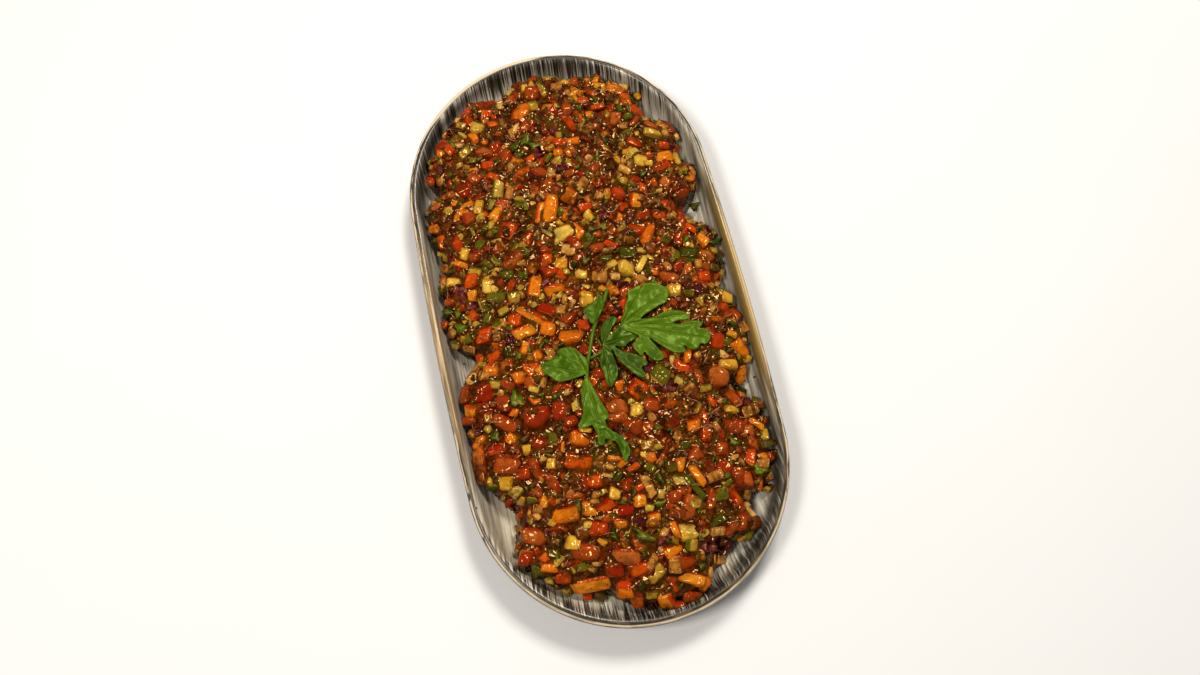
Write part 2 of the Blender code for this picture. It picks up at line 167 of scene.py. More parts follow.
@dataclass(frozen=True)
class Heap:
    """Form of the salad: a low dome that fills the dish, but for bare bays along the rim."""

    crown: float = 28.5 * MM
    dome_drop: float = 5 * MM
    end_drop: float = 1.5 * MM
    edge_margin: float = 6.4 * MM
    edge_thickness: float = 5 * MM
    edge_slope: float = 1.25
    edge_blend: float = 3 * MM
    edge_roughness: float = 1.2 * MM
    edge_ripple: float = 8 * MM
    lumps: tuple[tuple[float, float], ...] = ((24 * MM, 1.7 * MM), (10 * MM, 0.9 * MM))
    # Rim point that each bay faces, its half width and its depth, in millimetres.
    bays: tuple[tuple[float, float, float, float], ...] = (
        (0, 150, 45, 3), (-26, 145, 10, 4), (21, 147, 6, 2.5), (66, 113, 12, 6.5), (77, 81, 8, 5),
        (78, 46, 8, 10), (79, 5, 5, 3.5), (78, -49, 6.5, 11), (66, -112, 7.5, 9.5), (42, -137, 13, 9),
        (-33, -143, 20, 7), (-76, -88, 15, 10.5), (-79, -7, 7, 10), (-78, 48, 12, 3), (-76, 87, 5.5, 7),
    )
    bowl: Bowl = Bowl()

    def edge(self, x: Array, y: Array) -> Array:
        """Margin of the salad's edge on the rays from the axis through plan points.

        Args:
            x: Plan points across the dish.
            y: Plan points along the dish.

        Returns:
            The margin on each point's ray.
        """
        out_x, out_y, distance, rim = self.bowl.oval.reach(x, y)
        face_x = x + out_x * (rim - distance)
        face_y = y + out_y * (rim - distance)
        margin = np.full(np.shape(x), self.edge_margin)
        for centre_x, centre_y, width, depth in self.bays:
            away = np.hypot(face_x - centre_x * MM, face_y - centre_y * MM) / (width * MM)
            margin = margin + depth * MM * np.exp(-away ** 2)
        return margin + self.edge_roughness * np.abs(ripple(face_x, face_y, self.edge_ripple))

    def inwards(self, x: Array, y: Array) -> Array:
        """How far plan points lie in from the salad's edge, below 0 on the bare dish."""
        _, _, distance, rim = self.bowl.oval.reach(x, y)
        return rim - distance - self.edge(x, y)

    def height(self, x: Array, y: Array) -> Array:
        """Height of the salad's top at plan points.

        Args:
            x: Plan points across the dish.
            y: Plan points along the dish.

        Returns:
            The lower of the flank and the dome, blended where they meet, with lumps.
        """
        _, _, distance, rim = self.bowl.oval.reach(x, y)
        margin = self.edge(x, y)
        inwards = np.maximum(0, rim - distance - margin)
        flank = self.bowl.inside_height(margin) + self.edge_thickness + self.edge_slope * inwards
        dome = self.crown - self.dome_drop * (distance / self.bowl.oval.end_radius) ** 2
        dome = dome - self.end_drop * (2 * y / self.bowl.oval.length) ** 2
        lumps = sum(size * ripple(x, y, wave) for wave, size in self.lumps)
        blend = np.maximum(0, self.edge_blend - np.abs(flank - dome)) / self.edge_blend
        rounded = np.minimum(flank, dome) - blend * blend * self.edge_blend / 4
        return rounded + lumps * np.minimum(1, inwards / self.edge_thickness)


@dataclass(frozen=True)
class Viewpoint:
    """Where the photograph was taken from, which also tells where its pixels lie on the food."""

    lens: float = 30.0
    sensor: float = 36.0
    width: int = 1200
    height: int = 675
    azimuth: float = math.radians(-13.38)
    elevation: float = math.radians(73.94)
    distance: float = 491.9 * MM
    target: tuple[float, float, float] = (1.3 * MM, -11.1 * MM, 24 * MM)
    rounds: int = 4  # how often a point is moved along its ray to meet a surface

    @property
    def place(self) -> Vector:
        """Find the camera's place.

        Returns:
            The place.
        """
        level = math.cos(self.elevation)
        across, along = math.sin(self.azimuth) * level, -math.cos(self.azimuth) * level
        return Vector(self.target) + Vector((across, along, math.sin(self.elevation))) * self.distance

    @property
    def turn(self) -> Euler:
        """The camera's turn."""
        return Euler((math.pi / 2 - self.elevation, 0, self.azimuth))

    def plan_point(
        self, pixel_x: float, pixel_y: float, height: Callable[[Array, Array], Array]
    ) -> Vector:
        """Find the point that shows at a pixel of the photograph.

        Args:
            pixel_x: Pixels from the picture's left side.
            pixel_y: Pixels from its top.
            height: Gives the height of the surface at plan points.

        Returns:
            The point on that surface.
        """
        focal = self.lens / self.sensor * self.width
        ray = Vector((pixel_x - self.width / 2, self.height / 2 - pixel_y, -focal))
        ray.rotate(self.turn)
        point = Vector(self.target)
        for _ in range(self.rounds):
            surface = float(height(np.array([point.x]), np.array([point.y]))[0])
            point = self.place + ray * ((surface - self.place.z) / ray.z)
        return point


# ---- shader maths


class Wire:
    """An output socket that takes part in sums like a number."""

    def __init__(self, recipe: "Recipe", socket: bpy.types.NodeSocket) -> None:
        """Wrap a socket of a recipe's node."""
        self.recipe = recipe
        self.socket = socket

    def _sum(self, operation: str, *terms: "Wire | float") -> "Wire":
        """Add a Math node over the terms."""
        sockets = dict(enumerate(terms))
        return self.recipe.node("ShaderNodeMath", {"operation": operation}, sockets)

    def __add__(self, other: "Wire | float") -> "Wire":
        """Give self + other."""
        return self._sum("ADD", self, other)

    __radd__ = __add__

    def __sub__(self, other: "Wire | float") -> "Wire":
        """Give self - other."""
        return self._sum("SUBTRACT", self, other)

    def __rsub__(self, other: float) -> "Wire":
        """Give other - self."""
        return self._sum("SUBTRACT", other, self)

    def __mul__(self, other: "Wire | float") -> "Wire":
        """Give self * other."""
        return self._sum("MULTIPLY", self, other)

    __rmul__ = __mul__

    def __truediv__(self, other: "Wire | float") -> "Wire":
        """Give self / other."""
        return self._sum("DIVIDE", self, other)

    def __pow__(self, power: float) -> "Wire":
        """Give self to a power."""
        return self._sum("POWER", self, power)

    def __abs__(self) -> "Wire":
        """Give the size of self."""
        return self._sum("ABSOLUTE", self)

    def least(self, other: "Wire | float") -> "Wire":
        """Give the smaller of self and other."""
        return self._sum("MINIMUM", self, other)

    def most(self, other: "Wire | float") -> "Wire":
        """Give the larger of self and other."""
        return self._sum("MAXIMUM", self, other)

    def ease(self, low: float, high: float) -> "Wire":
        """Rise smoothly from 0 to 1.

        Args:
            low: Where self gives 0.
            high: Where self gives 1, which may be the smaller of the two.

        Returns:
            The share.
        """
        settings = {"interpolation_type": "SMOOTHSTEP"}
        sockets = {"Value": self, "From Min": low, "From Max": high}
        if low > high:
            sockets = {"Value": self, "From Min": high, "From Max": low}
            return 1 - self.recipe.node("ShaderNodeMapRange", settings, sockets)
        return self.recipe.node("ShaderNodeMapRange", settings, sockets)


class Recipe:
    """Builds the nodes of one material round its Principled shader."""

    def __init__(self, name: str) -> None:
        """Start a material.

        Args:
            name: The material's name.
        """
        self.material = bpy.data.materials.new(name)
        self.material.use_nodes = True
        self.tree = self.material.node_tree
        self.shader = self.tree.nodes["Principled BSDF"]

    def node(
        self,
        kind: str,
        settings: dict | None = None,
        sockets: dict | None = None,
        output: int | str = 0,
    ) -> Wire:
        """Add a node.

        Args:
            kind: The node's type.
            settings: The node's own options, and "stops" as (place, colour) pairs for a ramp.
            sockets: Values or wires for the node's inputs, by name or number.
            output: Name or number of the output that is wanted.

        Returns:
            That output.
        """
        node = self.tree.nodes.new(kind)
        for key, value in (settings or {}).items():
            if key == "stops":
                self._set_stops(node.color_ramp, value)
            else:
                setattr(node, key, value)
        for key, value in (sockets or {}).items():
            if isinstance(value, Wire):
                self.tree.links.new(value.socket, node.inputs[key])
            else:
                node.inputs[key].default_value = value
        return Wire(self, node.outputs[output])

    @staticmethod
    def _set_stops(ramp: bpy.types.ColorRamp, stops: Sequence[tuple[float, Colour]]) -> None:
        """Give a ramp its stops.

        Args:
            ramp: The ramp, which starts with two stops.
            stops: Places and colours.
        """
        while len(ramp.elements) < len(stops):
            ramp.elements.new(1.0)
        for element, (place, colour) in zip(ramp.elements, stops):
            element.position = place
            element.color = colour

    def place(self) -> Wire:
        """Object coordinates, in metres."""
        return self.node("ShaderNodeTexCoord", output="Object")

    def split(self, vector: Wire) -> tuple[Wire, Wire, Wire]:
        """Split a vector into its three parts.

        Args:
            vector: The vector, in metres.

        Returns:
            The parts, each in millimetres.
        """
        sockets = {0: self.scale(vector, 1 / MM)}
        parts = self.node("ShaderNodeSeparateXYZ", None, sockets).socket.node.outputs
        return tuple(Wire(self, part) for part in parts)

    def join(self, x: Wire | float, y: Wire | float, z: Wire | float = 0.0) -> Wire:
        """Join three values into a vector."""
        return self.node("ShaderNodeCombineXYZ", None, {0: x, 1: y, 2: z})

    def noise(self, vector: Wire, size: float, detail: float = 3.0, rough: float = 0.5) -> Wire:
        """Smooth noise of 0 to 1, whose lumps are about size wide in the vector's units."""
        sockets = {"Vector": vector, "Scale": 1 / size, "Detail": detail, "Roughness": rough}
        return self.node("ShaderNodeTexNoise", None, sockets)

    def cells(self, vector: Wire, size: float, output: str = "Distance") -> Wire:
        """Cell noise: the distance from the nearest seed, or the cell's colour."""
        sockets = {"Vector": vector, "Scale": 1 / size}
        return self.node("ShaderNodeTexVoronoi", None, sockets, output)

    def mix(self, share: Wire | float, first: Wire | Colour, second: Wire | Colour) -> Wire:
        """Blend two colours, the first where share is 0."""
        sockets = {0: share, 6: first, 7: second}
        return self.node("ShaderNodeMix", {"data_type": "RGBA"}, sockets, 2)

    def scale(self, colour: Wire, share: Wire | float) -> Wire:
        """Make a colour lighter or darker, or a vector longer or shorter."""
        sockets = {0: colour, "Scale": share}
        return self.node("ShaderNodeVectorMath", {"operation": "SCALE"}, sockets)

    def tone(self, value: Wire, *stops: tuple[float, Colour]) -> Wire:
        """Read a colour off a ramp."""
        return self.node("ShaderNodeValToRGB", {"stops": stops}, {0: value})

    def attribute(self, name: str) -> Wire:
        """Read one of the mesh's own values."""
        return self.node("ShaderNodeAttribute", {"attribute_name": name}, output="Fac")

    def bump(self, height: Wire, depth: float, strength: float = 1.0) -> Wire:
        """Turn a height of 0 to 1 into a normal, where 1 stands depth metres proud."""
        sockets = {"Strength": strength, "Distance": depth, "Height": height}
        return self.node("ShaderNodeBump", None, sockets, "Normal")

    def set(self, **constants: float | Colour | tuple) -> None:
        """Set the shader's constant sockets, named with _ for each blank."""
        for name, value in constants.items():
            self.shader.inputs[name.replace("_", " ")].default_value = value

    def link(self, **wires: Wire) -> None:
        """Link the shader's sockets, named with _ for each blank."""
        for name, wire in wires.items():
            self.tree.links.new(wire.socket, self.shader.inputs[name.replace("_", " ")])


# ---- finishes


@dataclass(frozen=True)
class GlazeFinish:
    """Grey glaze brushed along the dish, burnt in streaks at the ends, with a gold and tan rim, and
    painted highlight lines, a painted pool of light and painted shade.
    """

    bowl: Bowl = Bowl()
    ground: Colour = paint(206, 196, 176)
    pale: Colour = paint(234, 226, 208)
    shade: Colour = paint(128, 120, 104)
    umber: Colour = paint(26, 16, 6)
    olive: Colour = paint(116, 88, 22)
    gold: Colour = paint(180, 138, 58)
    cream_and_highlight: Colour = paint(238, 208, 152)
    painted_light: Colour = paint(250, 228, 190)
    tan: Colour = paint(176, 146, 106)
    bark: Colour = paint(112, 84, 50)
    outline: Colour = paint(98, 62, 26)
    foot: Colour = paint(176, 150, 118)

    def brushed(self, recipe: Recipe, x: Wire, y: Wire, width: float, length: float) -> Wire:
        """Noise drawn out along the dish, by its width across and length along in millimetres."""
        return recipe.noise(recipe.join(x / width, y / length), 1.0, 3.0, 0.6)

    def inside(self, recipe: Recipe, x: Wire, y: Wire, margin: Wire, to_end: Wire) -> Wire:
        """Colour of the floor and the wall, with a painted pool of light on the floor towards the left
        of the near end and painted shade on the wall at two arcs.

        Args:
            recipe: The glaze's nodes.
            x: Place across the dish, in millimetres.
            y: Place along the dish.
            margin: Distance in from the outside of the rim.
            to_end: Distance along the dish to the outside of the rim.

        Returns:
            The colour.
        """
        coarse = self.brushed(recipe, x, y, 1.2, 40.0)
        fine = self.brushed(recipe, x, y + 300, 0.45, 16.0)
        broad = self.brushed(recipe, x + 200, y, 14.0, 80.0)
        dashes = self.brushed(recipe, x - 150, y, 0.6, 9.0)
        colour = recipe.tone(
            coarse * 0.6 + broad * 0.4, (0.4, self.shade), (0.5, self.ground), (0.6, self.pale)
        )
        colour = recipe.mix(fine.ease(0.5, 0.36) * 0.5, colour, self.shade)
        # Painted light: a pale pool on the floor towards the left of the near end.
        colour = recipe.mix(x.ease(-10, -50) * y.ease(-60, -100) * 0.4, colour, self.painted_light)
        near_end = to_end.ease(26, 5)
        colour = recipe.mix(dashes.ease(0.57, 0.64) * (0.12 + 0.75 * near_end), colour, self.umber)
        ragged = self.brushed(recipe, x + 90, y * 0.02, 5.0, 1.0) * 0.4
        ragged = ragged + self.brushed(recipe, x + 60, y * 0.02, 0.8, 1.0) * 0.6
        depth = ragged.ease(0.38, 0.62) * 10 + 2.5
        burnt = (to_end / depth).ease(1.3, 0.75) * (0.75 + 0.25 * fine.ease(0.62, 0.45))
        # Painted shade on the wall at the far left and near right arcs, ragged, darkened to umber with
        # the burnt streaks.
        arc = y.ease(50, 80) * x.ease(-20, -50) + y.ease(-50, -80) * x.ease(15, 45)
        arc = arc * margin.ease(9, 5.5) * ragged.ease(0.3, 0.5)
        colour = recipe.mix(burnt.most(arc * 0.9), colour, self.umber)
        side = margin.ease(6.0, 4.9) * to_end.ease(6, 60)
        right = x.ease(-20, 30)
        band = recipe.mix(right, self.bark, self.olive)
        colour = recipe.mix(side * (0.35 + 0.5 * right), colour, band)
        specks = recipe.cells(recipe.join(x, y), 8.0).ease(0.075, 0.045)
        return recipe.mix(specks, colour, self.umber)

    def rolled(self, recipe: Recipe, x: Wire, y: Wire, margin: Wire, to_end: Wire) -> Wire:
        """Colour of the rim: gold at the right, partly painted light, streaked tan at the left, dark
        ends, with painted highlight lines.

        Args:
            recipe: The glaze's nodes.
            x: Place across the dish, in millimetres.
            y: Place along the dish.
            margin: Distance in from the outside of the rim.
            to_end: Distance along the dish to the outside of the rim.

        Returns:
            The colour.
        """
        grain = self.brushed(recipe, x, y + 40, 0.8, 30.0)
        left = recipe.tone(grain, (0.34, self.bark), (0.5, self.tan), (0.7, self.cream_and_highlight))
        # Painted highlight: a cream line along the top of the rim at the right, over the gold.
        highlight_line = margin.ease(0.5, 0.9) * margin.ease(1.9, 1.4)
        right = recipe.mix(highlight_line * 0.85 + grain.ease(0.5, 0.65) * 0.15, self.gold, self.cream_and_highlight)
        right = recipe.mix(margin.ease(2.0, 2.8) * 0.8, right, self.olive)
        # Gold at the right and tan at the left; the difference is partly painted light.
        colour = recipe.mix(x.ease(-25, 25), left, right)
        colour = recipe.mix(margin.ease(0.7, 0.3) * 0.8, colour, self.outline)
        inner = margin.ease(2.8, 3.5)
        colour = recipe.mix(inner * x.ease(-20, 30), colour, self.olive)
        colour = recipe.mix(inner * x.ease(20, -30) * 0.85, colour, self.bark)
        drift = recipe.noise(recipe.join(x / 9, y / 9, margin / 0.7), 1.0, 2.0, 0.5)
        # Painted highlight: a pale line along the dark ends of the rim, widened at the top of the far
        # end and stronger at the near end.
        far_end_highlight = x.ease(14, -2) * x.ease(-66, -50) * y.ease(90, 120)
        dusk = recipe.mix(drift.ease(0.45, 0.65), self.umber, self.bark)
        highlight_line = margin.ease(0.3, 0.7) * (margin - far_end_highlight * 1.1).ease(1.8, 1.2)
        highlight_line = highlight_line * (drift.ease(0.42, 0.54) + far_end_highlight + y.ease(-90, -120) * 0.6).least(1)
        dusk = recipe.mix(highlight_line * 0.9, dusk, self.painted_light)
        return recipe.mix(to_end.ease(60, 18) * 0.95, colour, dusk)

    def outside(self, margin: Wire, z: Wire) -> Wire:
        """Share of the outside's colour at a place, which is all that lies below the wall's middle.

        Args:
            margin: Distance in from the outside of the rim, in millimetres.
            z: Height over the table.

        Returns:
            The share.
        """
        bowl = self.bowl
        run = (bowl.wall_run + bowl.rim_thickness / 2) / MM
        rise = (bowl.height - bowl.floor_top + bowl.floor_thickness / 2) / MM
        share = ((bowl.oval.end_radius - bowl.well_radius) / MM - margin) / run
        share = share.most(0).least(0.999)
        middle = bowl.height / MM - (1 - share * share) ** 0.5 * rise
        return (middle - z).ease(0, 0.8) * z.ease(21.5, 18)

    def make(self) -> bpy.types.Material:
        """Build the glaze's material.

        Returns:
            The material.
        """
        recipe = Recipe("reactive_glaze")
        x, y, z = recipe.split(recipe.place())
        oval = self.bowl.oval
        straight = oval.half_straight / MM
        radius = oval.end_radius / MM
        along = abs(y).least(straight)
        beyond = abs(y) - along
        rim = radius + oval.side_bow / MM * (1 - along * along / straight ** 2)
        margin = rim - (x * x + beyond * beyond) ** 0.5
        to_end = straight + ((radius ** 2 - x * x).most(0)) ** 0.5 - abs(y)
        inside = self.inside(recipe, x, y, margin, to_end)
        rolled = self.rolled(recipe, x, y, margin, to_end)
        colour = recipe.mix((margin + to_end.ease(60, 18) * 1.6).ease(5.0, 4.0), inside, rolled)
        wash = recipe.noise(recipe.join(x, y, z * 0.4), 5.0, 4.0, 0.6)
        outer = recipe.tone(wash, (0.35, self.umber), (0.5, self.bark), (0.68, self.tan))
        colour = recipe.mix(self.outside(margin, z), colour, outer)
        colour = recipe.mix(z.ease(1.6, 0.8), colour, self.foot)
        relief = self.brushed(recipe, x, y + 500, 0.8, 12.0)
        recipe.link(
            Base_Color=colour,
            Roughness=0.24 + 0.2 * relief + z.ease(1.6, 0.8) * 0.4,
            Normal=recipe.bump(relief, 0.15 * MM, 0.5),
        )
        recipe.set(Coat_Weight=0.2, Coat_Roughness=0.12, Specular_IOR_Level=0.4)
        return recipe.material


@dataclass(frozen=True)
class Sauce:
    """The dressing's colours, which drift over the heap and cling to every wet piece, and the colour of
    the painted shade in its hollows.
    """

    olive: Colour = paint(72, 46, 1)
    brown: Colour = paint(90, 40, 1)
    # Also the colour of the painted shade in the heap's hollows.
    deep: Colour = paint(38, 13, 0)
    red: Colour = paint(126, 40, 1)
    tint: Colour = (0.92, 0.58, 0.26, 1.0)

    def colour(self, recipe: Recipe, place: Wire) -> Wire:
        """Colour of the dressing at a place.

        Args:
            recipe: The nodes of the food that it is on.
            place: The place, in metres.

        Returns:
            The colour.
        """
        drift = recipe.noise(place, 13 * MM, 2.0) * 0.6 + recipe.noise(place, 3.5 * MM, 2.0) * 0.4
        colour = recipe.tone(
            drift, (0.4, self.olive), (0.47, self.brown), (0.53, self.deep), (0.6, self.red)
        )
        pulp = recipe.noise(place, 1.1 * MM, 3.0, 0.7)
        return recipe.scale(colour, 0.4 + pulp.ease(0.3, 0.7) * 1.5)

    def wet(self, recipe: Recipe, glow: float, shine: float = 0.58) -> None:
        """Set the constants that all wet food shares.

        Args:
            recipe: The nodes of the food.
            glow: Share of the light that it lets in.
            shine: How strongly it reflects.
        """
        recipe.set(
            Specular_IOR_Level=shine,
            Specular_Tint=self.tint,
            Subsurface_Weight=glow,
            Subsurface_Radius=(1.0, 0.35, 0.12),
            Subsurface_Scale=1.4 * MM,
        )


@dataclass(frozen=True)
class CutFinish:
    """Wet cut vegetable: its flesh's colours, its skin, the dressing that clings to it, and painted
    shade where it lies sunk in the heap.
    """

    name: str
    tones: tuple[Colour, Colour, Colour]
    skin: Colour
    middle: float = 0.5
    skin_from: float = 0.8
    glow: float = 0.25
    roughness: float = 0.08
    fleck: float = 0.07
    pepper: Colour = paint(26, 12, 4)
    sauce: Sauce = Sauce()

    def make(self) -> bpy.types.Material:
        """Build the cut vegetable's material.

        Returns:
            The material.
        """
        recipe = Recipe(self.name)
        place = recipe.place()
        seed = recipe.attribute("seed")
        mottle = recipe.noise(place, 2.2 * MM, 3.0, 0.6)
        grain = recipe.noise(place, 0.7 * MM, 2.0, 0.6)
        skin = recipe.attribute("skin")
        stops = zip((0.0, self.middle, 1.0), self.tones)
        colour = recipe.tone(seed * 0.6 + skin * 0.35 + mottle * 0.5 - 0.22, *stops)
        side = skin + (mottle - 0.5) * 0.3
        skinned = side.ease(self.skin_from - 0.1, self.skin_from + 0.1)
        colour = recipe.mix(skinned, colour, self.skin)
        colour = recipe.scale(colour, 0.62 + 0.36 * grain + 0.4 * mottle)
        smear = recipe.attribute("smear")
        pool = recipe.noise(place, 14 * MM, 2.0, 0.5)
        clots = recipe.noise(place, 3.0 * MM, 3.0, 0.6) + smear - 0.5 + (pool - 0.5) * 0.7
        swell = recipe.noise(place, 3.4 * MM, 0.0)
        rim = recipe.attribute("edge").ease(0.6, 1.0) * 0.3
        sunk = recipe.attribute("sunk")
        film = clots.ease(0.28, 0.7) * 0.9 + sunk.ease(0.15, 1.0) + rim
        colour = recipe.mix(film.least(1), colour, self.sauce.colour(recipe, place))
        # Painted shade: darker where the piece lies sunk in the heap, and darker in random broad
        # patches.
        shade = sunk.ease(0.5, 1.0) * 0.7 + pool.ease(0.54, 0.68) * 0.35
        colour = recipe.mix(shade.least(0.9), colour, self.sauce.deep)
        dots = recipe.cells(place, 2.2 * MM).ease(self.fleck * 2.4, self.fleck * 1.4)
        colour = recipe.mix(dots, colour, self.pepper)
        recipe.link(
            Base_Color=colour,
            Roughness=self.roughness + 0.1 * mottle + smear.ease(0.45, 0.9) * 0.3,
            Normal=recipe.bump(swell + grain * 0.02, 1.5 * MM, 0.9),
        )
        self.sauce.wet(recipe, self.glow)
        return recipe.material


@dataclass(frozen=True)
class DressingFinish:
    """Brown dressing thick with finely chopped bits, wet and lumpy, between the pieces, with painted
    shade where it lies low and darker random patches.
    """

    sauce: Sauce = Sauce()
    bits: tuple[tuple[float, Colour], ...] = (
        (0.0, paint(70, 30, 4)), (0.3, paint(120, 58, 14)), (0.5, paint(140, 52, 12)),
        (0.66, paint(150, 96, 46)), (0.82, paint(172, 84, 18)), (1.0, paint(84, 78, 16)),
    )

    def make(self) -> bpy.types.Material:
        """Build the dressing's material.

        Returns:
            The material.
        """
        recipe = Recipe("dark_dressing")
        place = recipe.place()
        grain = recipe.noise(place, 0.8 * MM, 2.0, 0.6)
        swirl = recipe.noise(place, 2.4 * MM, 3.0, 0.6)
        swell = recipe.noise(place, 4.4 * MM, 0.0)
        away = recipe.cells(place, 2.6 * MM)
        cell = recipe.cells(place, 2.6 * MM, "Color")
        hue = recipe.node("ShaderNodeSeparateColor", None, {0: cell})
        share = away.ease(0.6, 0.2) * swirl.ease(0.42, 0.64) * 0.4
        colour = recipe.mix(share, self.sauce.colour(recipe, place), recipe.tone(hue, *self.bits))
        pool = recipe.noise(place, 14 * MM, 2.0, 0.5)
        # Painted shade where the dressing lies low under the heap's smoothed top, with darker random
        # patches.
        shade_and_dark_patches = swirl.ease(0.5, 0.34) * 0.6 + pool.ease(0.5, 0.66) * 0.4
        shade_and_dark_patches = shade_and_dark_patches + recipe.attribute("sunk").ease(0.35, 0.8) * 0.8
        colour = recipe.mix(shade_and_dark_patches.least(0.95), colour, self.sauce.deep)
        recipe.link(
            Base_Color=colour,
            Roughness=0.07 + 0.08 * swirl,
            Normal=recipe.bump(swell + grain * 0.012, 2.5 * MM, 0.9),
        )
        self.sauce.wet(recipe, 0.15, 0.48)
        return recipe.material


@dataclass(frozen=True)
class LeafFinish:
    """Fresh parsley leaf, with paler veins, a soft sheen, and painted light and shade carried by its
    tint.
    """

    deep: Colour = paint(26, 52, 0)
    fresh: Colour = paint(62, 94, 0)
    light: Colour = paint(86, 116, 16)
    vein: Colour = paint(116, 142, 30)
    sheen: Colour = (0.72, 1.0, 0.22, 1.0)

    def make(self) -> bpy.types.Material:
        """Build the leaf's material.

        Returns:
            The material.
        """
        recipe = Recipe("parsley_leaf")
        place = recipe.place()
        vein = recipe.attribute("vein")
        tint = recipe.attribute("tint")
        patch = recipe.noise(place, 9 * MM, 3.0, 0.5)
        pores = recipe.noise(place, 0.6 * MM, 2.0, 0.6)
        colour = recipe.tone(
            tint * 0.7 + patch * 0.3, (0.22, self.deep), (0.5, self.fresh), (0.82, self.light)
        )
        colour = recipe.mix(vein * 0.45, colour, self.vein)
        colour = recipe.mix(pores.ease(0.62, 0.4) * 0.25, colour, self.deep)
        colour = recipe.mix(patch.ease(0.48, 0.36) * 0.3, colour, self.deep)
        recipe.link(
            Base_Color=colour,
            Roughness=0.27 + 0.16 * pores,
            Normal=recipe.bump(pores * 0.3 - vein, 0.2 * MM, 0.8),
        )
        recipe.set(Subsurface_Weight=0.1, Subsurface_Radius=(0.5, 1.0, 0.1))
        recipe.set(Subsurface_Scale=0.6 * MM, Specular_IOR_Level=0.42, Specular_Tint=self.sheen)
        return recipe.material


@dataclass(frozen=True)
class PlainFinish:
    """A finish of one colour that only mottles, for the stage and the smallest bits."""

    name: str
    colour: Colour
    other: Colour
    patch: float = 2 * MM
    roughness: float = 0.3
    coat: float = 0.3

    def make(self) -> bpy.types.Material:
        """Build the material.

        Returns:
            The material.
        """
        recipe = Recipe(self.name)
        mottle = recipe.noise(recipe.place(), self.patch, 3.0, 0.6)
        recipe.link(
            Base_Color=recipe.mix(mottle.ease(0.35, 0.65), self.colour, self.other),
            Roughness=self.roughness + 0.1 * mottle,
            Normal=recipe.bump(mottle, 0.1 * MM, 0.3),
        )
        recipe.set(Coat_Weight=self.coat, Coat_Roughness=0.1)
        return recipe.material


# ---- modelling helpers


def choose(*items: Item) -> None:
    """Select some objects and no others, and make the first of them active.

    Args:
        items: The objects, or none to leave nothing selected.
    """
    bpy.ops.object.select_all(action="DESELECT")
    for item in items:
        item.select_set(True)
    if items:
        bpy.context.view_layer.objects.active = items[0]


def active() -> Item:
    """Give the active object."""
    return bpy.context.view_layer.objects.active


def select_whole() -> None:
    """Select all of the mesh that is in edit mode."""
    bpy.ops.mesh.select_all(action="SELECT")


def edit(work: Callable[[], None], everything: bool = True) -> None:
    """Run operators on the active object in edit mode.

    Args:
        work: Runs the operators.
        everything: Whether all of it is selected at first, or only what is marked.
    """
    bpy.ops.object.mode_set(mode="EDIT")
    if everything:
        select_whole()
    work()
    bpy.ops.object.mode_set(mode="OBJECT")


def mark(item: Item, chosen: Array) -> None:
    """Select some vertices of an object, and none of its edges and faces.

    Args:
        item: The object.
        chosen: For each vertex, whether it is selected.
    """
    item.data.polygons.foreach_set("select", np.zeros(len(item.data.polygons), bool))
    item.data.edges.foreach_set("select", np.zeros(len(item.data.edges), bool))
    item.data.vertices.foreach_set("select", chosen)


def apply(item: Item, kind: str, **settings: float | int | bool | tuple | str) -> None:
    """Give an object a modifier and apply it.

    Args:
        item: The object.
        kind: The modifier's type.
        settings: The modifier's settings.
    """
    choose(item)
    modifier = item.modifiers.new(kind.lower(), kind)
    for key, value in settings.items():
        setattr(modifier, key, value)
    bpy.ops.object.modifier_apply(modifier=modifier.name)


def places(item: Item) -> Array:
    """Give an object's vertices.

    Args:
        item: The object.

    Returns:
        Rows of x, y and z.
    """
    points = np.empty((len(item.data.vertices), 3))
    item.data.vertices.foreach_get("co", points.ravel())
    return points


def move_to(item: Item, points: Array) -> None:
    """Set an object's vertices."""
    item.data.vertices.foreach_set("co", np.ascontiguousarray(points, np.float32).ravel())
    item.data.update()


def keep_value(item: Item, name: str, values: Array) -> None:
    """Store one value for each vertex, which a finish reads."""
    attribute = item.data.attributes.new(name, "FLOAT", "POINT")
    attribute.data.foreach_set("value", np.ascontiguousarray(values, np.float32))


def mesh_of(name: str, points: Array, faces: Array) -> Item:
    """Make an object of many small things from arrays.

    Args:
        name: The object's name.
        points: Its vertices.
        faces: Its triangles, as rows of three vertex numbers.

    Returns:
        The object, in the scene and shaded smooth.
    """
    mesh = bpy.data.meshes.new(name)
    mesh.from_pydata(points.tolist(), [], faces.tolist())
    mesh.shade_smooth()
    item = bpy.data.objects.new(name, mesh)
    bpy.context.scene.collection.objects.link(item)
    return item


def finish_piece(item: Item, name: str, slot: str, material: bpy.types.Material) -> None:
    """Name a piece, dress it, and let it ride on the dish's body in place of its solid.

    Args:
        item: The piece.
        name: Its name.
        slot: The record's material slot.
        material: Its finish.
    """
    stands_for = {"stoneware": "dish", "chopped_salad": "ezme_salad", "parsley": "parsley_sprig"}
    item.name = name
    item.data.name = name
    item.data.materials.clear()
    item.data.materials.append(material)
    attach(item, BODY)
    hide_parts(stands_for[slot])
    log.info("%s: %d faces", name, len(item.data.polygons))


# ---- dish


